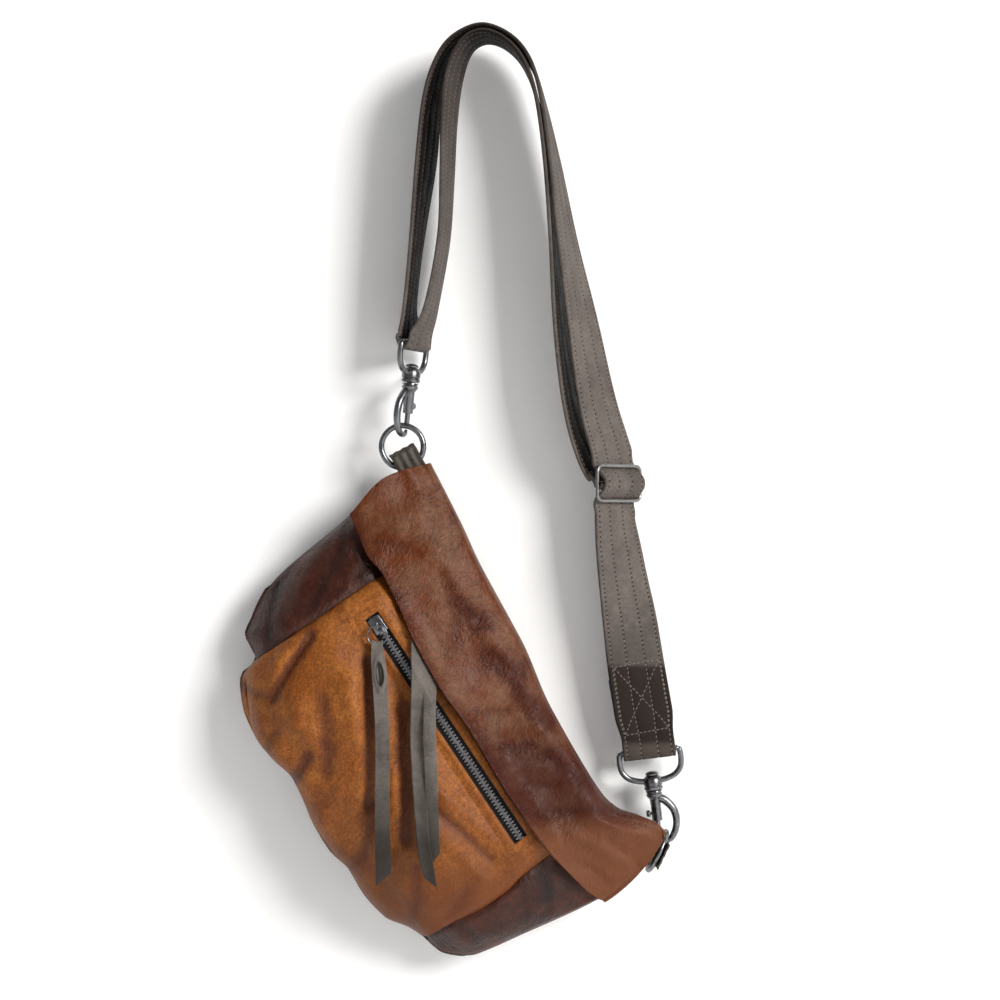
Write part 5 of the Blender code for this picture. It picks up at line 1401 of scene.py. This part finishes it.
class StrapPath:
    """Even stations on the strap: centre, unit width, unit face and half width."""

    def __init__(self, step):
        rough = even_path(strap_route(), 2000)
        length = np.linalg.norm(np.diff(rough[:, :3], axis=0), axis=1).sum()
        route = even_path(strap_route(), int(length / step) + 1)
        self.spots = route[:, :3]
        self.way = np.linspace(0, length, len(route))
        ahead = np.gradient(self.spots, axis=0)
        ahead /= np.linalg.norm(ahead, axis=1)[:, None]
        turn = np.radians(route[:, 3])
        wide = np.column_stack((np.sin(turn), np.cos(turn), route[:, 4]))
        wide -= ahead * (wide * ahead).sum(axis=1)[:, None]
        self.wide = wide / np.linalg.norm(wide, axis=1)[:, None]
        self.ahead = ahead
        self.out = np.cross(ahead, self.wide)
        full = sizes().strap_width / MM
        bars = [np.array(eye_bar(snap)) for snap in (UPPER_SNAP, LOWER_SNAP)]
        near = np.min([np.linalg.norm(self.spots - bar, axis=1) for bar in bars], axis=0)
        self.share = lerp(STRAP_NARROW / full, 1.0, smooth_step(9, 26, near))

    def at(self, way, across):
        """Centre line point moved across by so many millimetres, with its directions, at distances along."""
        pick = [np.column_stack([np.interp(way, self.way, part[:, k]) for k in range(3)])
                for part in (self.spots, self.wide, self.ahead, self.out)]
        share = np.interp(way, self.way, self.share)
        return pick[0] + pick[1] * (across * share)[:, None], pick[1], pick[2], pick[3]


def strap_profile():
    """Half of the strap's section as (across, height above the middle): padded between stitched grooves."""
    half, thick = sizes().strap_width / MM / 2, sizes().strap_thickness / MM / 2
    across = [-half, -half + 0.35, -half + 0.9]
    for row in STITCH_ROWS:
        across += [row - 1.5, row - 0.6, row, row + 0.6, row + 1.5]
        across.append(row + 5.0 if row < STITCH_ROWS[-1] else half - 0.9)
    across += [half - 0.35, half]
    across = np.array(across)
    height = np.full(len(across), thick)
    for row in STITCH_ROWS:
        height -= 0.4 * np.exp(-((across - row) / 0.7) ** 2)
    height -= 0.2 * np.exp(-((np.abs(across) - half) / 0.8) ** 2)
    height[0] = height[-1] = thick * 0.45
    return across, height


def strap_mesh(path):
    across, height = strap_profile()
    section = np.vstack((np.column_stack((across, height)), np.column_stack((across[::-1], -height[::-1]))))
    count, around = len(path.spots), len(section)
    side = section[None, :, 0] * path.share[:, None]
    spots = path.spots[:, None, :] + side[..., None] * path.wide[:, None, :]
    spots = spots + section[None, :, 1, None] * path.out[:, None, :]
    faces = []
    for k in range(count - 1):
        for j in range(around):
            n = (j + 1) % around
            faces.append((k * around + j, k * around + n, (k + 1) * around + n, (k + 1) * around + j))
    half = around // 2
    for k in (0, count - 1):
        for j in range(half - 1):
            faces.append((k * around + j, k * around + j + 1, k * around + around - 2 - j,
                          k * around + around - 1 - j))
    mesh = bpy.data.meshes.new("strap")
    mesh.from_pydata((spots.reshape(-1, 3) * MM).tolist(), [], faces)
    work = bmesh.new()
    work.from_mesh(mesh)
    bmesh.ops.recalc_face_normals(work, faces=work.faces)
    work.to_mesh(mesh)
    work.free()
    inner = mesh.attributes.new("inner_face_and_underside_shade", "FLOAT", "POINT")
    inside = (section[:, 1] > 0) & (np.abs(section[:, 0]) < across[-1] - 0.5)
    # Painted shade: on the upper strap, faces that look down get the inner face's dark colour
    down = np.clip(-1.5 * path.out[:, 2:] * np.sign(section[:, 1]) - 0.3, 0, 1) * (path.spots[:, 2:] > -120)
    inner.data.foreach_set("value", np.maximum(inside, down).ravel())
    place = np.zeros((count, around, 3))
    place[..., 0] = (path.way - STITCH_START)[:, None]
    place[..., 1] = section[None, :, 0]
    mesh.attributes.new("strap_place", "FLOAT_VECTOR", "POINT").data.foreach_set("vector", place.ravel())
    obj = link_new("strap", mesh)
    activate(obj)
    bpy.ops.object.shade_smooth_by_angle(angle=math.radians(50))
    return obj


def stitch_frames(path, way, across, face, lead, sink=0.3):
    """Frames of stitches at distances along and across; lead is their run as (along, across)."""
    spot, wide, ahead, out = path.at(way, across)
    height = (sizes().strap_thickness / MM / 2 - sink) * face
    run = ahead * lead[0] + wide * lead[1]
    run /= np.linalg.norm(run, axis=1)[:, None]
    frames = []
    for p, r, o in zip(spot + out * height, run, out):
        r = Vector(r)
        o = Vector(o) * face
        side = o.cross(r).normalized()
        frames.append(frame_of(p, r, side, r.cross(side)))
    return frames


def front_way(path, height):
    """Distance along the strap of its foremost point at a height."""
    near = np.abs(path.spots[:, 2] - height) < 3.0
    return path.way[near][np.argmin(path.spots[near, 1])]


def box_stitches(path, face):
    """Rectangle and cross sewn through the folded end above the lower eye."""
    first, last = (front_way(path, height) for height in BOX_HEIGHTS)
    pitch = sizes().stitch_pitch / MM
    frames = []
    a, b, c, d = (first, -BOX_HALF), (last, -BOX_HALF), (last, BOX_HALF), (first, BOX_HALF)
    for (way0, across0), (way1, across1) in ((a, b), (b, c), (c, d), (d, a), (a, c), (b, d)):
        count = max(3, int(math.hypot(way1 - way0, across1 - across0) / pitch))
        t = (np.arange(count) + 0.5) / count
        frames += stitch_frames(path, lerp(way0, way1, t), lerp(across0, across1, t), face,
                                (way1 - way0, across1 - across0), 0.02)
    return frames


class MakeStrap(bpy.types.Operator):
    """The strap, its stitching and the buckle."""
    bl_idname = "sling_bag.strap"
    bl_label = "Strap and buckle"

    def execute(self, context):
        path = StrapPath(STRAP_STEP)
        strap = strap_mesh(path)
        finish_piece(strap, "strap_leather", "taupe_strap_leather", "bag", "strap_outer", "strap_inner",
                     "strap_lower")
        pitch = sizes().stitch_pitch / MM
        way = np.arange(STITCH_START + pitch / 2, path.way[-1] - STITCH_START, pitch)
        frames = []
        for row in STITCH_ROWS:
            for face in (-1, 1):
                frames += stitch_frames(path, way, np.full(len(way), row), face, (1.0, 0.06))
        for face in (-1, 1):
            frames += box_stitches(path, face)
        stitches = repeat(spindle(2.2, 0.75, 0.45), frames)
        finish_piece(stitches, "strap_stitches", "linen_thread", "bag")
        wide, face = buckle_axes()
        corner, path = BUCKLE_CORNER, []
        for sx, sz in ((1, 1), (-1, 1), (-1, -1), (1, -1)):
            start = math.atan2(sz, sx) - math.pi / 4
            for a in start + np.linspace(0, math.pi / 2, 9):
                x = sx * (BUCKLE_HALF[0] - corner) + corner * math.cos(a)
                z = sz * (BUCKLE_HALF[1] - corner) + corner * math.sin(a)
                path.append(BUCKLE_AT + wide * x + Vector((0, 0, z)))
        buckle = wire(path, BUCKLE_WIRE_R, closed=True)
        finish_piece(buckle, "buckle_wire", "brushed_nickel", "bag", "buckle_frame")
        middle, reach = BUCKLE_AT - face, BUCKLE_HALF[0] - 0.4
        bar = wire(even_path([middle - wide * reach, middle, middle + wide * reach], 20), BUCKLE_WIRE_R)
        finish_piece(bar, "buckle_bar_wire", "brushed_nickel", "bag", "buckle_bar")
        return {"FINISHED"}


# Stage

WALL_Y = 0.033
FLOOR_Z = -0.72
CAMERA_AT = (0.00635, -1.27, -0.293)


def plane(name, size, matrix, material):
    obj = add_primitive(bpy.ops.mesh.primitive_plane_add, size=size)
    obj.name = name
    obj.data.transform(matrix)
    obj.data.materials.append(material)
    return obj


def plaster(name, glow):
    """White paint: faint roller texture, clear from behind; it can glow a little, so that it reads white."""
    tree, shader, mm = new_material(name)
    stipple = noise_node(tree, mm, 3, 4.0).outputs["Fac"]
    set_inputs(tree, shader, {"Normal": bump_node(tree, stipple, 0.04, 0.0003), "Base Color": rgba("#fbfbfb"),
                              "Roughness": 0.9, "Emission Color": (1, 1, 1, 1), "Emission Strength": glow})
    behind = add_node(tree, "NewGeometry").outputs["Backfacing"]
    clear = add_node(tree, "BsdfTransparent").outputs["BSDF"]
    mixed = add_node(tree, "MixShader", inputs={0: behind, 1: shader.outputs["BSDF"], 2: clear})
    tree.links.new(mixed.outputs["Shader"], tree.nodes["Material Output"].inputs["Surface"])
    return bpy.data.materials[name]


def area_light(name, at, aim, size, watts, colour):
    data = bpy.data.lights.new(name, "AREA")
    data.size = size
    data.energy = watts
    data.color = colour
    obj = link_new(name, data)
    obj.location = at
    obj.rotation_euler = (Vector(aim) - Vector(at)).to_track_quat("-Z", "Y").to_euler()


class MakeStage(bpy.types.Operator):
    """White wall, pale floor, window light from the right and the camera."""
    bl_idname = "sling_bag.stage"
    bl_label = "Stage"

    def execute(self, context):
        scene = context.scene
        upright = Matrix.Translation((0, WALL_Y, -0.3)) @ Matrix.Rotation(math.pi / 2, 4, "X")
        plane("wall", 6.0, upright, plaster("wall_paint", 0.05))
        plane("floor", 6.0, Matrix.Translation((0, 0, FLOOR_Z)), plaster("floor_paint", 0.0))
        area_light("window", (2.3, -2.4, 1.0), (0, 0, -0.33), 1.3, 140.0, (1.0, 0.985, 0.96))
        area_light("room", (-1.3, -1.5, -0.1), (0, 0, -0.3), 1.6, 2.5, (0.95, 0.97, 1.0))
        world = bpy.data.worlds.new("room_light")
        world.use_nodes = True
        tree = world.node_tree
        way = add_node(tree, "TexCoord").outputs["Object"]
        lit = add_node(tree, "VectorMath", {"operation": "DOT_PRODUCT"}, {0: way, 1: (0.55, -0.45, 0.7)})
        glow = range_node(tree, lit.outputs["Value"], -0.4, 0.9, 0.03, 0.17, "SMOOTHSTEP")
        set_inputs(tree, tree.nodes["Background"], {"Strength": glow, "Color": (1, 1, 1, 1)})
        scene.world = world
        scene.view_settings.view_transform = "Standard"
        lens = bpy.data.cameras.new("camera")
        lens.lens = 72.0
        lens.sensor_width = 36.0
        camera = link_new("camera", lens)
        camera.location = CAMERA_AT
        camera.rotation_euler = (math.pi / 2, 0, 0)
        scene.camera = camera
        return {"FINISHED"}


class MakeMaterials(bpy.types.Operator):
    """All materials."""
    bl_idname = "sling_bag.materials"
    bl_label = "Materials"

    def execute(self, context):
        make_leathers()
        make_cloths()
        make_metals()
        return {"FINISHED"}


class BagPanel(bpy.types.Panel):
    """Settings and steps of the sling bag."""
    bl_idname = "VIEW3D_PT_sling_bag"
    bl_label = "Sling bag"
    bl_space_type = "VIEW_3D"
    bl_region_type = "UI"
    bl_category = "Sling bag"

    def draw(self, context):
        for group in (context.scene.bag_sizes, context.scene.bag_colours):
            for key in group.__annotations__:
                self.layout.prop(group, key)
        for operator in OPERATORS:
            self.layout.operator(operator.bl_idname)


OPERATORS = (MakeMaterials, MakePanels, MakeLinings, MakeFlap, MakeZips, MakePulls, MakeRings, MakeSnaps,
             MakeStrap, MakeStage)
CLASSES = (BagSizes, BagColours, *OPERATORS, BagPanel)


def register():
    for made in CLASSES:
        bpy.utils.register_class(made)
    bpy.types.Scene.bag_sizes = bpy.props.PointerProperty(type=BagSizes)
    bpy.types.Scene.bag_colours = bpy.props.PointerProperty(type=BagColours)


def unregister():
    del bpy.types.Scene.bag_colours
    del bpy.types.Scene.bag_sizes
    for made in reversed(CLASSES):
        bpy.utils.unregister_class(made)


def main():
    register()
    bpy.ops.sling_bag.materials()
    bpy.ops.sling_bag.panels()
    bpy.ops.sling_bag.linings()
    bpy.ops.sling_bag.flap()
    bpy.ops.sling_bag.zips()
    bpy.ops.sling_bag.pulls()
    bpy.ops.sling_bag.rings()
    bpy.ops.sling_bag.snaps()
    bpy.ops.sling_bag.strap()
    bpy.ops.sling_bag.stage()


if __name__ == "__main__":
    main()
